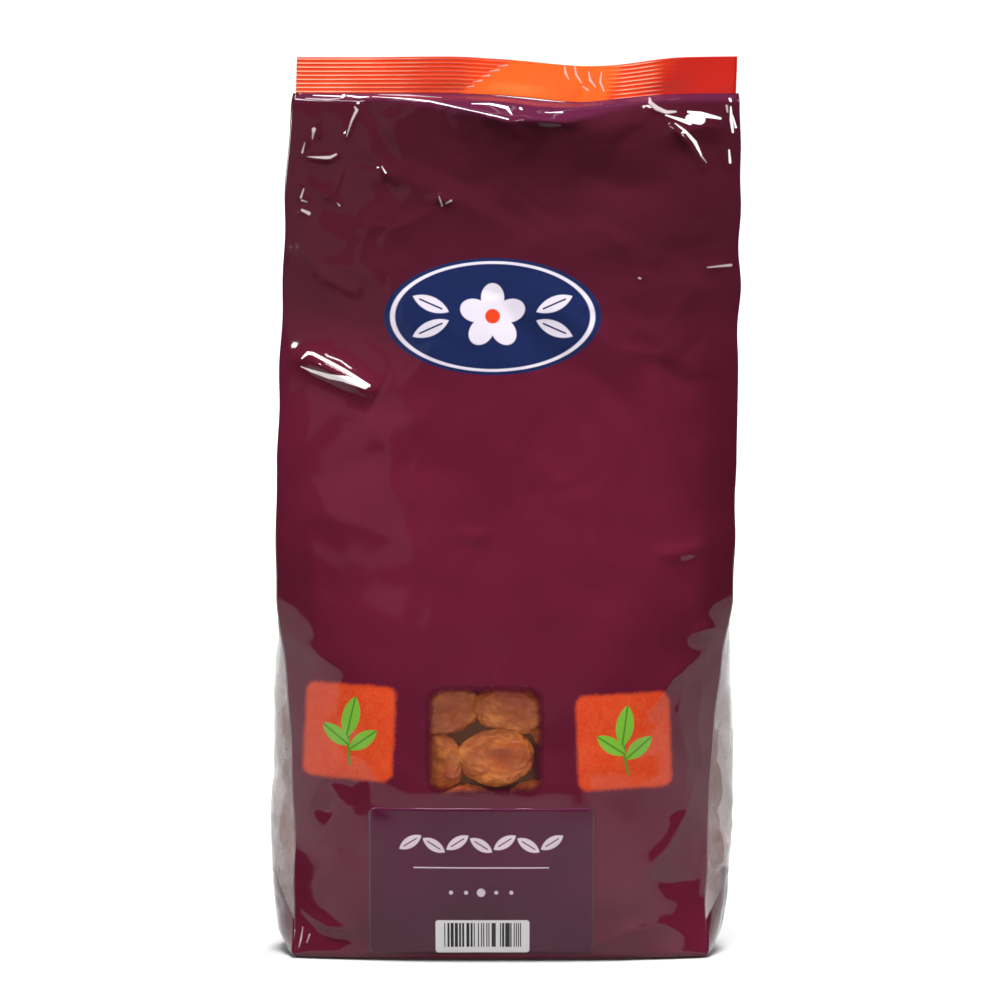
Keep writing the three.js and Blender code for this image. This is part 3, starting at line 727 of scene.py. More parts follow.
# Painted glints along the pinches, the faint ones first.
colour = (nearest_glint_line(place, FAINT_PAINTED_GLINTS).between(0.3, -0.3) * 0.38).mix(colour, PAINTED_GLINT)
colour = nearest_glint_line(place, BRIGHT_PAINTED_GLINTS).between(0.25, -0.2).mix(colour, PAINTED_GLINT)
surface = start.node("ShaderNodeBsdfPrincipled", None, {
    "Base Color": colour,
    "Roughness": space.noise(22.0, 3.0, 0.6).between(0.2, 0.9) * 0.03 + 0.05,
    "IOR": 1.4,
    "Alpha": 1.0 - opening * 0.92,
    "Normal": film_skin(start, space),
})
finish_material(start, surface)

front_film = sheet_object("front_film", panel_us, film_zs, front_place)
front_film.data.materials.append(film_material)
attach(front_film, "root")
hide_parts("front_panel", "window_film")


# The back film and its fin seal
# The same web carried on round the back. Its two edges meet in the middle, are welded face to face
# into a fin, and the fin is pressed flat to one side.
SEAL_WIDTH, SEAL_RISE, SEAL_THICKNESS = 12 * MM, 0.5 * MM, 0.4 * MM
BACK_CREASES = [
    ([[-80, 345], [-60, 330], [-40, 300], [-30, 270]], 1.6, 6.0, 1.3),
    ([[84, 345], [70, 325], [52, 300]], 1.6, 5.0, 1.2),
    ([[-86, 250], [-60, 236], [-30, 240]], 1.4, 5.0, 1.2),
    ([[86, 220], [60, 212], [34, 222], [14, 214]], 1.4, 6.0, 1.3),
    ([[-20, 300], [0, 280], [10, 250]], -1.2, 8.0, 1.6),
    ([[20, 170], [50, 160], [80, 166]], 1.0, 5.0, 1.2),
    ([[-80, 30], [-60, 24], [-36, 30]], 1.5, 5.0, 1.2),
    ([[80, 24], [58, 30], [36, 22]], 1.5, 5.0, 1.2),
    ([[-60, 120], [-50, 90], [-62, 60]], 0.9, 6.0, 1.3),
]
CREASES[1] = BACK_CREASES


def back_place(u, z):
    """A point of the back film, and its place on the print."""
    points = panel_point(-u, z, 1)
    return points, np.stack([points[..., 0] - MIDDLE_X, z], axis=-1)


def fin_place(u, z):
    """A point of the fin seal, which lies a little unevenly on the back film."""
    out = SEAL_RISE + 0.25 * MM * ripple(u * 50 * MM, z, 20 * MM, 77)
    points = panel_point(-u, z, 1, out)
    return points, np.stack([points[..., 0] - MIDDLE_X, z], axis=-1)


back_material, start = new_material("printed_film_back")
x, z = print_places(start)
space = start.node("ShaderNodeTexCoord", None, None, output=3)
surface = start.node("ShaderNodeBsdfPrincipled", None, {
    "Base Color": plum_ink_and_shade(space, z),
    "Roughness": space.noise(22.0, 3.0, 0.6).between(0.2, 0.9) * 0.03 + 0.05,
    "IOR": 1.4,
    "Normal": film_skin(start, space),
})
finish_material(start, surface)

back_film = sheet_object("back_film", panel_us, film_zs, back_place)
back_film.data.materials.append(back_material)
fin_us = np.linspace(-1, 1, 13) * SEAL_WIDTH / 2 / fold_x(BODY_TOP)
back_fin = sheet_object("back_fin_seal", fin_us, panel_zs[4:], fin_place, SEAL_THICKNESS)
back_fin.data.materials.append(back_material)
for piece, node in ((back_film, "back_panel"), (back_fin, "back_seal")):
    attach(piece, "root")
    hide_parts(node)


# The side gussets
# Clear unprinted film down both sides. The fruit bows it out at the bottom, and above the fill it tucks
# in between the panels. The plum print wraps round onto it only at the bottom corners.
GUSSET_HALF_WIDTH = 30 * MM


def gusset_point(w, z, side):
    """A point on the left (-1) or right (1) gusset. w runs from -1 at the front fold to 1 at the back."""
    tucked = smooth(TUCK_FROM, TUCK_TO, z)
    bow = 1 - np.abs(w) ** (2 - 0.85 * tucked)
    within = 1 - np.abs(w) ** 4
    ends = smooth(0, 8 * MM, z) * smooth(0, 10 * MM, BODY_TOP - z)
    seed = 90 + side
    along = w * GUSSET_HALF_WIDTH
    relief = 0.5 * MM * fruit_lumps(along, z, seed, 22 * MM)
    relief += 0.9 * MM * facets(along, z, 24 * MM, seed + 5)
    relief += 0.3 * MM * facets(along, z, 8 * MM, seed + 8) * (1 - 0.6 * tucked)
    wobble = np.where(w > 0, fold_shift(z, 1, side), fold_shift(z, -1, side)) * np.abs(w) ** 6
    x = fold_x(z) * side + wobble + side * (gusset_out(z) * bow + within * ends * relief)
    return np.stack([MIDDLE_X + lean(z) + x, MIDDLE_Y + fold_y(z) * w, z], axis=-1)


gusset_ws = np.linspace(-1, 1, 44)


def gusset_place(side):
    """The function that gives a point of one gusset, and its place on the print."""
    def place(w, z):
        points = gusset_point(w * side, z, side)
        return points, np.stack([w * side * GUSSET_HALF_WIDTH, z], axis=-1)

    return place


clear_material, start = new_material("clear_film")
x, z = print_places(start)
space = start.node("ShaderNodeTexCoord", None, None, output=3)
from_fold = 30.0 - abs(x)
low_print = (from_fold * 1.1 + 15.0).least(28.0 + space.noise(60.0) * 8.0) - z
side_print = z.between(120.0, 160.0) * 7.0 - from_fold
printed = low_print.most(side_print).between(-0.5, 0.5)
# Milky haze of the clear film, partly painted reflection of the white surroundings: paler where the haze is
# thicker.
haze = space.noise(30.0, 4.0, 0.6)
haze_and_reflection = haze.between(0.3, 0.75)
# The print that wraps onto the gussets, with the same painted shade above the fruit.
printed_colour = z.between(200.0, 290.0).mix(PLUM_DARK, PLUM_PAINTED_SHADE)
colour = printed.mix(haze_and_reflection.mix(srgb(168, 146, 146), srgb(208, 192, 192)), printed_colour)
surface = start.node("ShaderNodeBsdfPrincipled", None, {
    "Base Color": colour,
    "Roughness": haze * 0.12 + 0.06,
    "IOR": 1.42,
    "Alpha": (haze_and_reflection * 0.22 + 0.38).most(printed),
    "Normal": film_skin(start, space),
})
finish_material(start, surface)

for side, name in ((-1, "left"), (1, "right")):
    gusset = sheet_object(f"gusset_film_{name}", gusset_ws, panel_zs, gusset_place(side))
    gusset.data.materials.append(clear_material)
    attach(gusset, "root")
    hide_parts(f"gusset_{name}")


# The header seal
# All layers of the tube welded flat between ribbed jaws, and printed orange. The jaws leave fine level
# ribs, which are crushed near the middle where the bag was pulled. The strip sags and waves a little.
HEADER_HALF_WIDTH, HEADER_RIBS, RIB_DEPTH = 91 * MM, 9, 0.11 * MM
CRUSHED_MIDDLE, CRUSHED_REACH, PLAIN_FROM, RIB_FADE = 8 * MM, 29 * MM, 56 * MM, 12 * MM
HEADER_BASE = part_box("top_seal")[0].z
HEADER_HEIGHT = BAG_HEIGHT - HEADER_BASE
RIB_PITCH = HEADER_HEIGHT / HEADER_RIBS / MM


def header_place(u, z):
    """A point of the header, which waves to the back and front more and more towards its free edge, and
    its place on the print, up from the header's base."""
    rise = (z - HEADER_BASE) / HEADER_HEIGHT
    x = HEADER_HALF_WIDTH * u
    crushed = np.exp(-(((x - CRUSHED_MIDDLE) / CRUSHED_REACH) ** 4))
    back = 1.6 - 1.8 * smooth(-60 * MM, -40 * MM, x) + 2.6 * smooth(-26 * MM, -10 * MM, x)
    back = (back - 3.8 * smooth(46 * MM, 68 * MM, x)) * MM * rise
    crinkled = np.exp(-(((x - 28 * MM) / (13 * MM)) ** 4))
    crumple = (0.08 * crushed + 0.42 * crinkled) * MM * facets(x, z * 0.35, 5 * MM, 201, 0.12)
    soft = 0.5 * MM * ripple(x, z, 45 * MM, 202) * smooth(0, 0.4, rise)
    points = np.stack([MIDDLE_X + lean(z) + x, MIDDLE_Y + back + crumple + soft, z - top_sag(x)], axis=-1)
    return points, np.stack([x, z - HEADER_BASE], axis=-1)


def new_tree(name, inputs):
    """A Geometry Nodes tree with named inputs and one output, and a list with a wire on each input."""
    tree = bpy.data.node_groups.new(name, "GeometryNodeTree")
    for title, kind in inputs:
        tree.interface.new_socket(title, in_out="INPUT", socket_type="NodeSocket" + kind)
    tree.interface.new_socket("Shape", in_out="OUTPUT", socket_type="NodeSocketGeometry")
    sockets = tree.nodes.new("NodeGroupInput").outputs
    return tree, [Wire(tree, socket) for socket in list(sockets)[:len(inputs)]]


def finish_tree(shape, finish):
    """Ends a tree: its instances made real, and one material put on all of it."""
    plain = shape.node("GeometryNodeRealizeInstances", None, {"Geometry": shape})
    dressed = plain.node("GeometryNodeSetMaterial", None, {"Geometry": plain, "Material": finish})
    dressed.node("NodeGroupOutput", None, {"Shape": dressed})


def crimp_ribs():
    """A node tree that raises level ribs from a sheet, by its UV map's upward part."""
    tree, inputs = new_tree("crimp ribs", [
        ("Sheet", "Geometry"), ("Rib Pitch", "Float"), ("Rib Depth", "Float"), ("Crushed Middle", "Float"),
        ("Crushed Reach", "Float"), ("Plain From", "Float"), ("Film", "Material"),
    ])
    sheet, pitch, depth, middle, reach, plain_from, film = inputs
    start = Wire(tree, None)
    places = start.node("GeometryNodeInputNamedAttribute", {"data_type": "FLOAT_VECTOR"}, {"Name": "print"})
    across = start.node("ShaderNodeSeparateXYZ", None, {"Vector": places}, output=0)
    up = start.node("ShaderNodeSeparateXYZ", None, {"Vector": places}, output=1)
    wave = (up / pitch * math.pi).sine()
    uncrushed = abs((across - middle) / reach).between(0.95, 1.1)
    short_of_plain = (plain_from + RIB_FADE - across).between(0.0, RIB_FADE)
    height = wave * wave * depth * (uncrushed * short_of_plain * 0.9 + 0.1)
    normal = start.node("GeometryNodeInputNormal")
    raised = normal.node("ShaderNodeVectorMath", {"operation": "SCALE"}, {0: normal, "Scale": height})
    ribbed = sheet.node("GeometryNodeSetPosition", None, {"Geometry": sheet, "Offset": raised})
    finish_tree(ribbed, film)
    return tree


def set_inputs(piece, tree, values):
    """Puts a node tree on a piece, with its inputs set by their sockets' identifiers."""
    grown = piece.modifiers.new(tree.name, "NODES")
    grown.node_group = tree
    for item in tree.interface.items_tree:
        if item.in_out == "INPUT" and item.name in values:
            grown[item.identifier] = values[item.name]


# The header's painted glints, thin bright lines along its crinkles and rib ends, by points [across, up from
# its base] and half widths, in millimetres
HEADER_PINCHES = [
    ([[19.8, 14.7], [20.2, 12], [21.6, 9.4]], [0.1, 0.35, 0.1]),
    ([[23.9, 15.3], [24.6, 11.5], [26.9, 8.2]], [0.1, 0.3, 0.2]),
    ([[29.8, 12.9], [30.4, 9.5], [32.8, 6.4]], [0.1, 0.4, 0.1]),
    ([[35.1, 12.7], [34.6, 8.4], [36.3, 4.6]], [0.1, 0.3, 0.2]),
    ([[27.4, 6.8], [29.6, 5.2]], [0.1, 0.25]),
    ([[-20.4, 2.9], [-17.6, 3.3]], [0.02, 0.22]),
    ([[-17.8, 5.0], [-14.4, 5.8]], [0.02, 0.26]),
    ([[-14.4, 7.5], [-11.2, 8.2]], [0.02, 0.24]),
    ([[-11.2, 9.8], [-7.4, 10.7]], [0.02, 0.22]),
    ([[-7.6, 12.2], [-3.9, 12.9]], [0.02, 0.2]),
]
header_material, start = new_material("header_film")
space = start.node("ShaderNodeTexCoord", None, None, output=3)
x, z = print_places(start)
tone = space.noise(24.0, 3.0, 0.5)
colour = tone.between(0.35, 0.7).mix(srgb(210, 48, 12), srgb(218, 62, 20))
# Painted sheen: the flattened, crushed part of the header is painted a lighter orange, as where it catches
# the light.
crushed = (x - z * 1.4).between(-26.0, -21.0) * (x - z * 0.4).between(40.0, 35.0)
colour = crushed.mix(colour, srgb(240, 92, 34))
colour = (x - z * 1.2).between(44.0, 54.0).mix(colour, srgb(206, 27, 8))
# Painted highlights: paler lines along the crests of the ribs.
wave = (z * (math.pi / RIB_PITCH)).sine()
ribbed = (x - z * 1.4).between(-21.0, -27.0).most((abs(x - 50.0) - 8.0).between(4.0, -4.0))
painted_rib_highlight = (wave * wave).between(0.65, 1.0) * ribbed * (tone.between(0.35, 0.6) * 0.5 + 0.45)
painted_rib_highlight = painted_rib_highlight * ((x - z * 0.5).between(-38.0, -52.0).most(x.between(20.0, 30.0)) * 0.75 + 0.25)
colour = painted_rib_highlight.mix(colour, srgb(246, 184, 152))
place = start.node("ShaderNodeCombineXYZ", None, {"X": x, "Y": z})
# Painted glints on the header.
colour = (nearest_glint_line(place, HEADER_PINCHES).between(0.3, -0.2) * 0.4).mix(colour, PAINTED_GLINT)
surface = start.node("ShaderNodeBsdfPrincipled", None, {
    "Base Color": colour,
    "Roughness": space.noise(60.0, 3.0, 0.6) * 0.14 + 0.26,
    "IOR": 1.38,
    "Normal": film_skin(start, space),
})
finish_material(start, surface)

ribs = crimp_ribs()
header_us, header_zs = np.linspace(-1, 1, 130), np.linspace(HEADER_BASE, BAG_HEIGHT, 76)
header = sheet_object("header_seal", header_us, header_zs, header_place, HEADER_THICKNESS)
set_inputs(header, ribs, {
    "Rib Pitch": RIB_PITCH * MM,
    "Rib Depth": RIB_DEPTH,
    "Crushed Middle": CRUSHED_MIDDLE,
    "Crushed Reach": CRUSHED_REACH,
    "Plain From": PLAIN_FROM,
    "Film": header_material,
})
apply_modifiers(header)
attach(header, "root")
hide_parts("top_seal")


# The base
# The film of the bottom is folded flat under the fruit, and the crimped seal that closes the tube is
# folded flat across its middle. The bag stands on both.
BASE_HEIGHT, CHANNEL_DEPTH = 0.15 * MM, 0.9 * MM
CRIMP_HALF_DEPTH, CRIMP_INSET, CRIMP_HEIGHT, CRIMP_THICKNESS = 6.5 * MM, 6 * MM, 0.65 * MM, 0.3 * MM


def base_place(u, v):
    """A point of the base film, which has a shallow channel for the seal, and its place on the print."""
    edge = panel_depth(u, np.zeros_like(u), -1)
    back_edge = panel_depth(-u, np.zeros_like(u), 1)
    y = np.where(v < 0, v * edge, v * back_edge)
    reach = np.clip(np.abs(y) / fold_y(0.0), 0, 1)
    half_width = fold_x(0.0) + gusset_out(0.0) * (1 - reach**2)
    z = BASE_HEIGHT + CHANNEL_DEPTH * smooth(11.5 * MM, 9 * MM, np.abs(y))
    points = np.stack([MIDDLE_X + u * half_width, MIDDLE_Y + y, z], axis=-1)
    return points, np.stack([u * half_width, y], axis=-1)


def crimp_place(u, v):
    """A point of the folded seal, and its place on the print."""
    x, y = u * (fold_x(0.0) - CRIMP_INSET), v * CRIMP_HALF_DEPTH
    points = np.stack([MIDDLE_X + x, MIDDLE_Y + y, np.full_like(x, CRIMP_HEIGHT)], axis=-1)
    return points, np.stack([x, y], axis=-1)


base_film = sheet_object("base_film", np.linspace(1, -1, 80), np.linspace(-1, 1, 50), base_place)
base_film.data.materials.append(back_material)
crimp_us, crimp_vs = np.linspace(1, -1, 60), np.linspace(-1, 1, 60)
base_crimp = sheet_object("base_seal_crimp", crimp_us, crimp_vs, crimp_place, CRIMP_THICKNESS)
set_inputs(base_crimp, ribs, {
    "Rib Pitch": 1.7 * MM, "Rib Depth": 0.2 * MM, "Crushed Middle": 1.0, "Crushed Reach": MM,
    "Plain From": 1.0, "Film": back_material,
})
apply_modifiers(base_crimp)
for piece, node in ((base_film, "base_panel"), (base_crimp, "base_seal")):
    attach(piece, "root")
    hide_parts(node)


# The product label
# A thin film sticker with rounded corners, pressed onto the lower front so that it follows the film's
# every fold. It is darker and bluer than the film, with a plain garland and a white patch of bars.
LABEL_CENTRE, LABEL_SIZE = (-7.5, 32.6), (90.0, 59.5)
LABEL_RISE, LABEL_THICKNESS = 0.22 * MM, 0.2 * MM
GARLAND_UP, GARLAND_STEP, GARLAND_LEAF = 47.5, 9.4, (5.2, 2.2)
RULE_UP, DOTS_UP, DOT_STEP = 38.5, 28.5, 6.0
PATCH_CENTRE, PATCH_SIZE, BAR_WIDTH = (-7.0, 10.4), (37.5, 13.5), 0.42


def label_place(x, z):
    """A point of the label, just in front of the front film, and its place on the print."""
    return panel_point((x - lean(z)) / fold_x(z), z, -1, LABEL_RISE), np.stack([x, z], axis=-1)


label_material, start = new_material("label_film")
x, z = print_places(start)
space = start.node("ShaderNodeTexCoord", None, None, output=3)
edge = rounded_box(x, z, LABEL_CENTRE, LABEL_SIZE, 3.0)
cloud = space.noise(18.0, 3.0, 0.5)
colour = cloud.between(0.3, 0.7).mix(srgb(68, 16, 41), srgb(76, 20, 47))
colour = (abs(edge + 0.35) - 0.12).between(0.15, -0.1).mix(colour, srgb(92, 48, 70))
cream = srgb(206, 188, 198)
for step in range(-3, 4):
    place = (LABEL_CENTRE[0] + step * GARLAND_STEP, GARLAND_UP + 1.1 * (step % 2))
    out, rib = leaf_distance(x, z, place, 32 if step % 2 else -32, *GARLAND_LEAF)
    colour = out.between(0.2, -0.2).mix(colour, cream)
    colour = (rib - 0.22).most(out + 1.2).between(0.12, -0.1).mix(colour, srgb(74, 28, 52))
rule = (abs(z - RULE_UP) - 0.22).most(abs(x - LABEL_CENTRE[0]) - 27.0)
colour = rule.between(0.12, -0.12).mix(colour, cream)
for step in range(-2, 3):
    dot = (x - (LABEL_CENTRE[0] + step * DOT_STEP)).length(z - DOTS_UP) - (0.8 if step else 1.7)
    colour = dot.between(0.2, -0.2).mix(colour, cream)
patch = rounded_box(x, z, PATCH_CENTRE, PATCH_SIZE, 1.2)
colour = patch.between(0.12, -0.12).mix(colour, srgb(228, 224, 226))
strip = (x * (1 / BAR_WIDTH)).floor()
bars = start.node("ShaderNodeTexWhiteNoise", {"noise_dimensions": "1D"}, {"W": strip})
within = (abs(x - PATCH_CENTRE[0]) - 15.6).most(abs(z - PATCH_CENTRE[1] - 0.6) - 5.0)
ink = bars.between(0.50, 0.52) * within.between(0.08, -0.08)
colour = ink.mix(colour, srgb(30, 26, 28))
surface = start.node("ShaderNodeBsdfPrincipled", None, {
    "Base Color": colour,
    "Roughness": space.noise(40.0, 3.0, 0.6) * 0.04 + 0.08,
    "IOR": 1.4,
    "Alpha": edge.between(0.08, -0.08),
    "Normal": film_skin(start, space),
})
finish_material(start, surface)

label_across = (LABEL_CENTRE[0] + np.linspace(-0.5, 0.5, 64) * LABEL_SIZE[0]) * MM
label_up = (LABEL_CENTRE[1] + np.linspace(-0.5, 0.5, 44) * LABEL_SIZE[1]) * MM
label = sheet_object("product_label_film", label_across, label_up, label_place, LABEL_THICKNESS)
label.data.materials.append(label_material)
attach(label, "root")
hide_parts("product_label")


# The dried apricots
# Whole pitted apricots dried to a soft disc with a thick rolled rim, a hollow where the stone was and
# fine wrinkles drawn in towards it. Sticky, and translucent orange where light comes through the flesh.
FRUIT_SIZE = (30 * MM, 23 * MM, 13 * MM)
SIDE_GAP, WINDOW_GAP = 2.2 * MM, 0.8 * MM

# The fruit behind the window: its place across and up the film, its depth behind it, its length, width and
# thickness, all in millimetres, and how far it is spun and tipped, in degrees
WINDOW_FRUIT = [
    (3.5, 101.5, 7.0, 30, 21, 12, -10, 4),
    (-2.4, 82.0, 7.2, 33, 23, 12.5, 10, -6),
    (-23.0, 101.5, 8.4, 29, 21, 12, 6, 6),
    (-26.4, 80.0, 9.4, 23, 23, 12, 60, -8),
    (23.5, 93.5, 11.5, 20, 25, 12, 85, 8),
    (-14.5, 61.5, 9.5, 27, 18, 12, 4, 6),
    (14.5, 62.5, 10.5, 27, 20, 12, -20, -6),
    (-14, 122.5, 9.5, 28, 18, 12, 8, -6),
]


def apricot_form():
    """A node tree that grows one dried apricot about the origin, flat in X and Y, stone side up."""
    tree, inputs = new_tree("dried apricot form", [
        ("Geometry", "Geometry"), ("Length", "Float"), ("Width", "Float"), ("Thickness", "Float"),
        ("Variety", "Float"), ("Wrinkle Depth", "Float"), ("Fineness", "Int"), ("Skin", "Material"),
    ])
    length, width, thickness, variety, depth, fineness, skin = inputs[1:]
    start = Wire(tree, None)
    ball = start.node("GeometryNodeMeshIcoSphere", None, {"Radius": 1.0, "Subdivisions": fineness})
    place = start.node("GeometryNodeInputPosition")
    x, y, z = (start.node("ShaderNodeSeparateXYZ", None, {"Vector": place}, output=i) for i in range(3))
    inwards = (1.0 - x.length(y)).most(0.0)
    angle = y.math("ARCTAN2", y, x)
    oval, three_sided = (angle * 2.0 + variety * 1.7).sine(), (angle * 3.0 + variety * 2.9).sine()
    outline = oval * 0.05 + three_sided * 0.04 + 1.0

    def field(scale, detail, offset, stretch=1.0):
        values = {"X": x * stretch, "Y": y * stretch, "Z": z + variety * 3.7 + offset}
        spot = start.node("ShaderNodeCombineXYZ", None, values)
        return spot.noise(scale, detail, 0.55, 0.3) - 0.5

    broad = field(1.3, 2.0, 0.0)
    folds = abs(field(1.7, 2.0, 5.0, 1.1)) * 2.0
    fine = abs(field(5.0, 2.0, 9.0)) * 2.0
    wrinkle = (folds.between(0.0, 0.30) - 1.0) * 0.60 + (fine.between(0.0, 0.34) - 1.0) * 0.16
    above = z.between(-0.1, 0.3)
    hollow = (inwards ** 0.7) * 0.42 * above + inwards * 0.08
    plump = z.sign() * (abs(z) ** 0.8) * (1.0 - hollow)
    swell = 1.0 + broad * 0.30 + wrinkle * depth
    values = {
        "X": x * outline * swell * length * 0.5,
        "Y": y * outline * swell * width * 0.5,
        "Z": (plump * swell + broad * 0.25) * thickness * 0.5,
    }
    shaped = start.node("ShaderNodeCombineXYZ", None, values)
    # The stored value is low in the creases and the hollow, and the skin uses it for painted shade.
    marked = ball.node("GeometryNodeStoreNamedAttribute", {"data_type": "FLOAT", "domain": "POINT"}, {
        "Geometry": ball, "Name": "wrinkle", "Value": (1.0 + wrinkle - hollow * 0.6).most(0.1),
    })
    moved = marked.node("GeometryNodeSetPosition", None, {"Geometry": marked, "Position": shaped})
    finish_tree(moved, skin)
    return tree


fruit_material, start = new_material("dried_fruit")
space = start.node("ShaderNodeTexCoord", None, None, output=3)
depth = start.node("ShaderNodeAttribute", {"attribute_name": "wrinkle"}, None, output=2)
tone = space.noise(45.0, 3.0, 0.55)
freckle = space.noise(420.0, 3.0, 0.6)
colour = tone.between(0.34, 0.66).mix(srgb(158, 62, 24), srgb(206, 124, 50))
# Painted shade: the skin is darker in the creases and the hollow.
colour = ((1.0 - depth.between(0.1, 0.95)) * 0.6).mix(colour, srgb(130, 46, 18))
colour = (freckle.between(0.62, 0.8) * 0.3).mix(colour, srgb(242, 186, 108))
# Painted shade: near black where no crease value is stored, as on the packed mass, so that the gaps between
# the fruit look dark.
colour = depth.between(0.04, 0.0).mix(colour, srgb(44, 20, 13))
skin_grain = start.node("ShaderNodeBump", None, {
    "Strength": 0.14, "Distance": 0.0006, "Height": freckle * 0.3 + space.noise(160.0, 4.0, 0.5),
})
surface = start.node("ShaderNodeBsdfPrincipled", None, {
    "Base Color": colour,
    "Roughness": freckle * 0.2 + 0.3,
    "IOR": 1.45,
    "Subsurface Weight": 0.25,
    "Subsurface Radius": (0.6, 0.25, 0.08),
    "Subsurface Scale": 0.006,
    "Coat Weight": 0.25,
    "Coat Roughness": 0.25,
    "Normal": skin_grain,
})
finish_material(start, surface)


def outward_normal(a, b):
    """The direction that the front film faces at a place, as a vector."""
    def at(da, db):
        z = np.array([b + db * MM])
        return panel_point((np.array([a + da * MM]) - lean(z)) / fold_x(z), z, -1)[0]

    across, up = at(1, 0) - at(-1, 0), at(0, 4) - at(0, -4)
    return Vector(np.cross(across, up)).normalized()


form = apricot_form()


def grow_apricot(name, sizes, variety, wrinkle, fineness):
    """A dried apricot as a plain mesh about the origin."""
    piece = bpy.data.objects.new(name, bpy.data.meshes.new(name))
    bpy.context.collection.objects.link(piece)
    set_inputs(piece, form, {
        "Length": sizes[0], "Width": sizes[1], "Thickness": sizes[2], "Variety": float(variety),
        "Wrinkle Depth": wrinkle, "Fineness": fineness, "Skin": fruit_material,
    })
    apply_modifiers(piece)
    return piece


def press_inside(piece, side_gap, panel_gap):
    """Presses fruit flat wherever it would pass through the film."""
    places = np.array([vertex.co for vertex in piece.data.vertices])
    z = np.clip(places[:, 2], 2 * MM, BODY_TOP)
    x, y = places[:, 0] - MIDDLE_X - lean(z), places[:, 1] - MIDDLE_Y
    from_front = np.clip(y / fold_y(z), -1, 1)
    bow = 1 - np.abs(from_front) ** (2 - 0.85 * smooth(TUCK_FROM, TUCK_TO, z))
    widest = fold_x(z) + gusset_out(z) * bow - side_gap
    x = np.clip(x, -widest, widest)
    u = np.clip(x / fold_x(z), -1, 1)
    y = np.clip(y, panel_gap - panel_depth(u, z, -1), panel_depth(u, z, 1) - panel_gap)
    pressed = np.stack([MIDDLE_X + lean(z) + x, MIDDLE_Y + y, z], axis=-1)
    piece.data.vertices.foreach_set("co", pressed.ravel())
    piece.data.update()


for number, (across, up, depth, length, width, thick, spin, tip) in enumerate(WINDOW_FRUIT, 1):
    fruit = grow_apricot(f"apricot_whole_{number}", (length * MM, width * MM, thick * MM), number, 0.07, 6)
    facing = outward_normal(across * MM + lean(up * MM), up * MM)
    z = np.array([up * MM])
    skin = panel_point(np.array([across * MM]) / fold_x(z), z, -1)[0]
    turn = Vector((0, 0, 1)).rotation_difference(facing).to_matrix()
    tilt = math.radians(tip)
    own = Euler((tilt, tilt * 0.6, math.radians(spin))).to_matrix()
    middle = Vector(skin) - facing * (depth + 1.2) * MM
    fruit.data.transform(Matrix.Translation(middle) @ (turn @ own).to_4x4())
    press_inside(fruit, SIDE_GAP, WINDOW_GAP)
    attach(fruit, "root")
    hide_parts(f"dried_apricot_{number}")


# The heap of fruit behind the film
# The rest of the apricots, pressed together by the film. Whole ones lie flat against the clear gussets,
# over the top of the fill and behind the window's own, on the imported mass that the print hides.
FILL_TOP = 196 * MM
CORE_INSET, FRUIT_INSET, BEHIND_WINDOW = 9 * MM, 3.2 * MM, 22 * MM
HEAP_GAP, FRUIT_SPACING = 1.2 * MM, 19 * MM


def inside_point(side, t, z, inset):
    """A point on a section of the space inside the film. The four sides run round from the front."""
    shift = lean(z)
    across = (fold_x(z) - inset) * t
    depth = fold_y(z) + bulge(z) * (1 - abs(t) ** PANEL_POWER) - inset
    out = fold_x(z) + gusset_out(z) * (1 - t * t) - inset
    along = (fold_y(z) - inset * 0.4) * t
    corners = ((shift + across, -depth), (shift + out, along), (shift - across, depth), (shift - out, -along))
    return Vector((MIDDLE_X + corners[side][0], MIDDLE_Y + corners[side][1], z))


def add_grid(build, side, rows, inset):
    """Flat faces on one side of the inside. Each row is a height and its places across, from -1 to 1."""
    corners = [[build.verts.new(inside_point(side, t, z, inset)) for t in ts] for z, ts in rows]
    for low, high in zip(corners, corners[1:]):
        for i in range(len(low) - 1):
            build.faces.new((low[i], low[i + 1], high[i + 1], high[i]))


def grid_mesh(name, sides, ts, zs, inset):
    """A mesh of flat faces on some sides of the inside."""
    build = bmesh.new()
    for side in sides:
        add_grid(build, side, [(z, ts) for z in zs], inset)
    mesh = bpy.data.meshes.new(name)
    build.to_mesh(mesh)
    build.free()
    piece = bpy.data.objects.new(name, mesh)
    bpy.context.collection.objects.link(piece)
    return piece


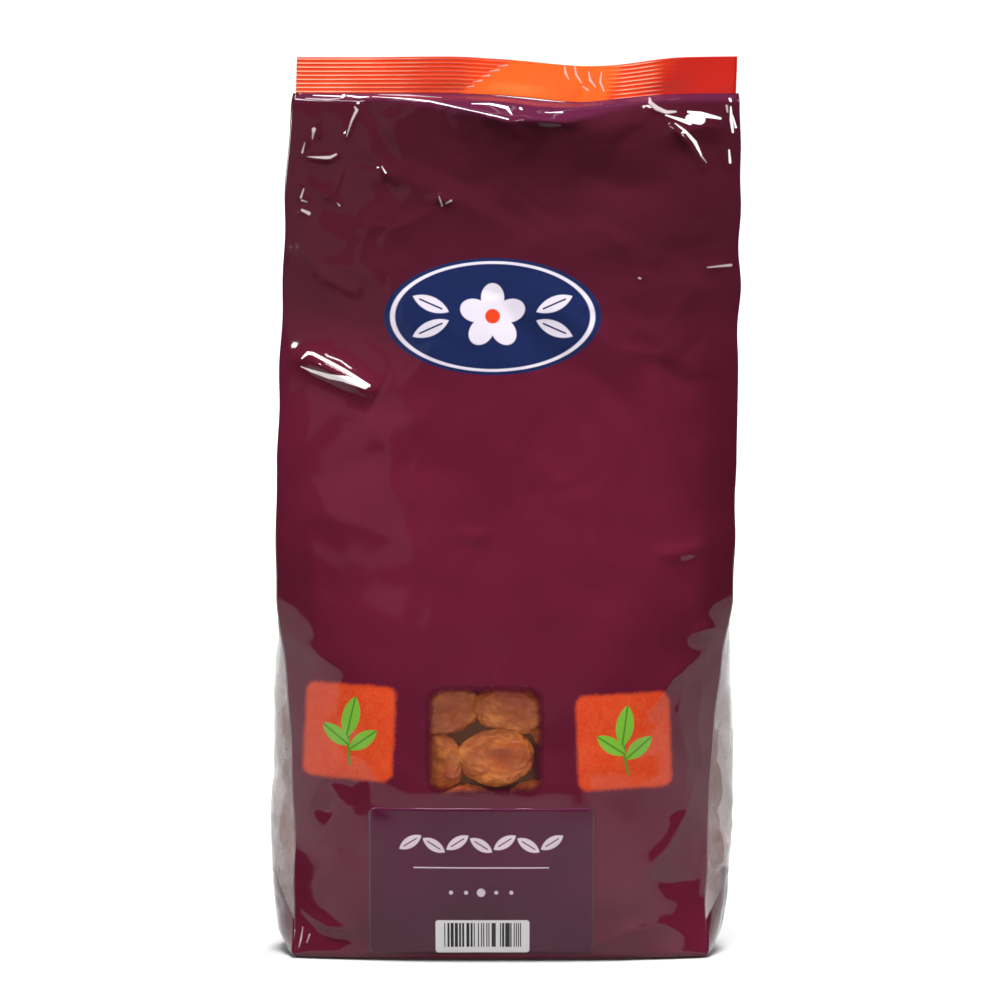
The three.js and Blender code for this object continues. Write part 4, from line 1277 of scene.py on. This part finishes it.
def heap_tree():
    """A node tree that lays whole fruit on a guide's faces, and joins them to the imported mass."""
    tree, inputs = new_tree("fruit heap", [
        ("Guide", "Geometry"), ("Spacing", "Float"), ("Seed", "Int"), ("Varieties", "Collection"),
        ("Mass", "Object"), ("Skin", "Material"),
    ])
    guide, spacing, seed, varieties, mass, skin = inputs
    start = Wire(tree, None)
    scatter = guide.node("GeometryNodeDistributePointsOnFaces", {"distribute_method": "POISSON"}, {
        "Mesh": guide, "Distance Min": spacing, "Density Max": 40000.0, "Seed": seed,
    })
    lie = Wire(tree, scatter.socket.node.outputs["Rotation"])
    spin = start.node("FunctionNodeRandomValue", {"data_type": "FLOAT_VECTOR"}, {
        0: (-0.22, -0.22, 0.0), 1: (0.22, 0.22, 2 * math.pi), "Seed": 3,
    })
    spin = spin.node("FunctionNodeEulerToRotation", None, {0: spin})
    lie = lie.node("FunctionNodeRotateRotation", {"rotation_space": "LOCAL"}, {0: lie, 1: spin})
    sizes = {2: 0.84, 3: 1.08, "Seed": 5}
    size = start.node("FunctionNodeRandomValue", {"data_type": "FLOAT"}, sizes, output=1)
    kinds = varieties.node("GeometryNodeCollectionInfo", None, {
        "Collection": varieties, "Separate Children": True, "Reset Children": True,
    })
    placed = scatter.node("GeometryNodeInstanceOnPoints", None, {
        "Points": scatter, "Instance": kinds, "Pick Instance": True, "Rotation": lie, "Scale": size,
    })
    body = mass.node("GeometryNodeObjectInfo", None, {"Object": mass}, output=4)
    joined = placed.node("GeometryNodeJoinGeometry")
    for part in (placed, body):
        tree.links.new(part.socket, joined.socket.node.inputs[0])
    finish_tree(joined, skin)
    return tree


# The imported mass is a closed block inside the film. It takes the fruit's skin without a crease value, so it
# shows near black: painted shade in the gaps between the fruit.
core_zs = np.linspace(9 * MM, FILL_TOP - 10 * MM, 12)
core = grid_mesh("packed mass", range(4), np.linspace(-1, 1, 11), core_zs, CORE_INSET)
build = bmesh.new()
build.from_mesh(core.data)
bmesh.ops.remove_doubles(build, verts=build.verts, dist=0.1 * MM)
bmesh.ops.holes_fill(build, edges=[e for e in build.edges if e.is_boundary])
bmesh.ops.recalc_face_normals(build, faces=build.faces)
build.to_mesh(core.data)
build.free()

# The guide that whole fruit is laid on: both gussets, the top of the fill, and a wall behind the window
side_zs = np.linspace(18 * MM, TUCK_FROM - 12 * MM, 7)
guide = grid_mesh("fruit guide", (1, 3), np.linspace(-0.8, 0.8, 5), side_zs, FRUIT_INSET + FRUIT_SIZE[2] / 2)
build = bmesh.new()
build.from_mesh(guide.data)
corners = MM * np.array([(-62, -15), (66, -15), (66, 15), (-62, 15)])
top = [build.verts.new((MIDDLE_X + x, MIDDLE_Y + y, FILL_TOP - 9 * MM)) for x, y in corners]
build.faces.new(top)
wall_across = MM * np.array([-46, -26, -6, 14, 34])
add_grid(build, 0, [(z, wall_across / fold_x(z)) for z in MM * np.array([51, 89, 128])], BEHIND_WINDOW)
build.to_mesh(guide.data)
build.free()

kinds = bpy.data.collections.new("fruit kinds")
bpy.context.scene.collection.children.link(kinds)
for kind in range(4):
    sizes = (FRUIT_SIZE[0] * (1.0 + 0.05 * (kind % 3)), FRUIT_SIZE[1], FRUIT_SIZE[2])
    piece = grow_apricot(f"fruit kind {kind}", sizes, 20 + kind, 0.09, 4)
    bpy.context.scene.collection.objects.unlink(piece)
    kinds.objects.link(piece)

heap = heap_tree()
set_inputs(guide, heap, {
    "Spacing": FRUIT_SPACING, "Seed": 4, "Varieties": kinds, "Mass": core, "Skin": fruit_material,
})
apply_modifiers(guide)
press_inside(guide, SIDE_GAP, HEAP_GAP)
guide.name = "apricot_heap"
for helper in [core, *kinds.objects]:
    bpy.data.objects.remove(helper)
bpy.data.collections.remove(kinds)
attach(guide, "root")
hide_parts("apricot_pile")


# The studio
# A plain pale floor that curves up behind, soft light from large panels, and a long lens straight in
# front of the bag at half its height.
CAMERA_DISTANCE, CAMERA_HEIGHT = 1.30, 0.1847
FRAME_WIDTH, FRAMED_AHEAD = 0.3975, 0.05
LENS_SENSOR = 36

floor_mesh = bpy.data.meshes.new("studio_floor")
sweep = [(-0.5, 0.0), (0.9, 0.0), (1.25, 0.05), (1.5, 0.2), (1.65, 0.5), (1.7, 0.9), (1.7, 3.0)]
floor_points = [(x, y, z) for y, z in sweep for x in (-3.0, 3.0)]
floor_faces = [(2 * i, 2 * i + 1, 2 * i + 3, 2 * i + 2) for i in range(len(sweep) - 1)]
floor_mesh.from_pydata(floor_points, [], floor_faces)
floor_mesh.shade_smooth()
floor = bpy.data.objects.new("studio_floor", floor_mesh)
bpy.context.collection.objects.link(floor)
floor_material, start = new_material("studio_floor")
space = start.node("ShaderNodeTexCoord", None, None, output=3)
across = start.node("ShaderNodeSeparateXYZ", None, {"Vector": space})
surface = start.node("ShaderNodeBsdfPrincipled", None, {
    "Base Color": srgb(206, 206, 207),
    "Roughness": 0.7,
    "Emission Color": abs(across).between(0.25, 0.8).mix(srgb(0, 0, 0), srgb(250, 250, 250)),
    "Emission Strength": 1.0,
})
finish_material(start, surface)
floor_mesh.materials.append(floor_material)
floor.visible_diffuse = False

SKY_FILL, SKY_MIRRORED = 0.12, 0.04
world = bpy.data.worlds.new("studio")
world.use_nodes = True
sky = Wire(world.node_tree, world.node_tree.nodes["Background"].inputs["Strength"])
to_camera = sky.node("ShaderNodeLightPath", None, None, "Is Camera Ray")
to_gloss = sky.node("ShaderNodeLightPath", None, None, "Is Glossy Ray")
strength = SKY_FILL + to_camera * (1.0 - SKY_FILL) - to_gloss * (SKY_FILL - SKY_MIRRORED)
world.node_tree.links.new(strength.socket, sky.socket)
world.node_tree.nodes["Background"].inputs["Color"].default_value = (1.0, 1.0, 1.0, 1.0)
bpy.context.scene.world = world
bpy.context.scene.view_settings.view_transform = "Standard"


def light_panel(name, place, target, size, watts, spread=180, mirrored=True):
    """A soft panel that faces its target. One that isn't mirrored gives no reflection in the film."""
    lamp = bpy.data.lights.new(name, "AREA")
    lamp.shape = "RECTANGLE"
    lamp.size, lamp.size_y = size
    lamp.energy = watts
    lamp.spread = math.radians(spread)
    panel = bpy.data.objects.new(name, lamp)
    panel.location = place
    panel.rotation_euler = (Vector(target) - Vector(place)).to_track_quat("-Z", "Y").to_euler()
    panel.visible_glossy = mirrored
    bpy.context.collection.objects.link(panel)


light_panel("overhead panel", (0, -0.34, 1.6), (0, 0, 0.22), (0.7, 0.35), 4.5, 60, False)
light_panel("front strip", (-0.27, -0.66, 1.4), (-0.20, 0, 0.27), (0.44, 0.10), 0.55, 60)
light_panel("low left lamp", (-0.95, -0.74, 0.8), (0, 0, 0.25), (0.12, 0.12), 0.3, 60)
light_panel("right lamp", (0.95, -0.5, 1.1), (0, 0, 0.2), (0.16, 0.2), 0.45, 60)
light_panel("wide dim panel", (-1.1, -1.7, 0.95), (0, 0, 0.2), (1.2, 0.9), 0.8)
light_panel("low fill", (0, -1.0, 0.12), (0, 0, 0.08), (0.8, 0.2), 0.75, 50, False)
light_panel("rear panel", (0.3, 1.0, 1.5), (0, 0, 0.2), (0.8, 0.4), 3, 60)
light_panel("backdrop panel", (0, 0.45, 1.9), (0, 1.4, 0.1), (2.0, 0.5), 26, 80)

lens = bpy.data.cameras.new("camera")
lens.sensor_width = LENS_SENSOR
lens.lens = LENS_SENSOR * (CAMERA_DISTANCE - FRAMED_AHEAD) / FRAME_WIDTH
camera = bpy.data.objects.new("camera", lens)
camera.location = (MIDDLE_X, MIDDLE_Y - CAMERA_DISTANCE, CAMERA_HEIGHT)
camera.rotation_euler = (math.pi / 2, 0, 0)
bpy.context.collection.objects.link(camera)
bpy.context.scene.camera = camera
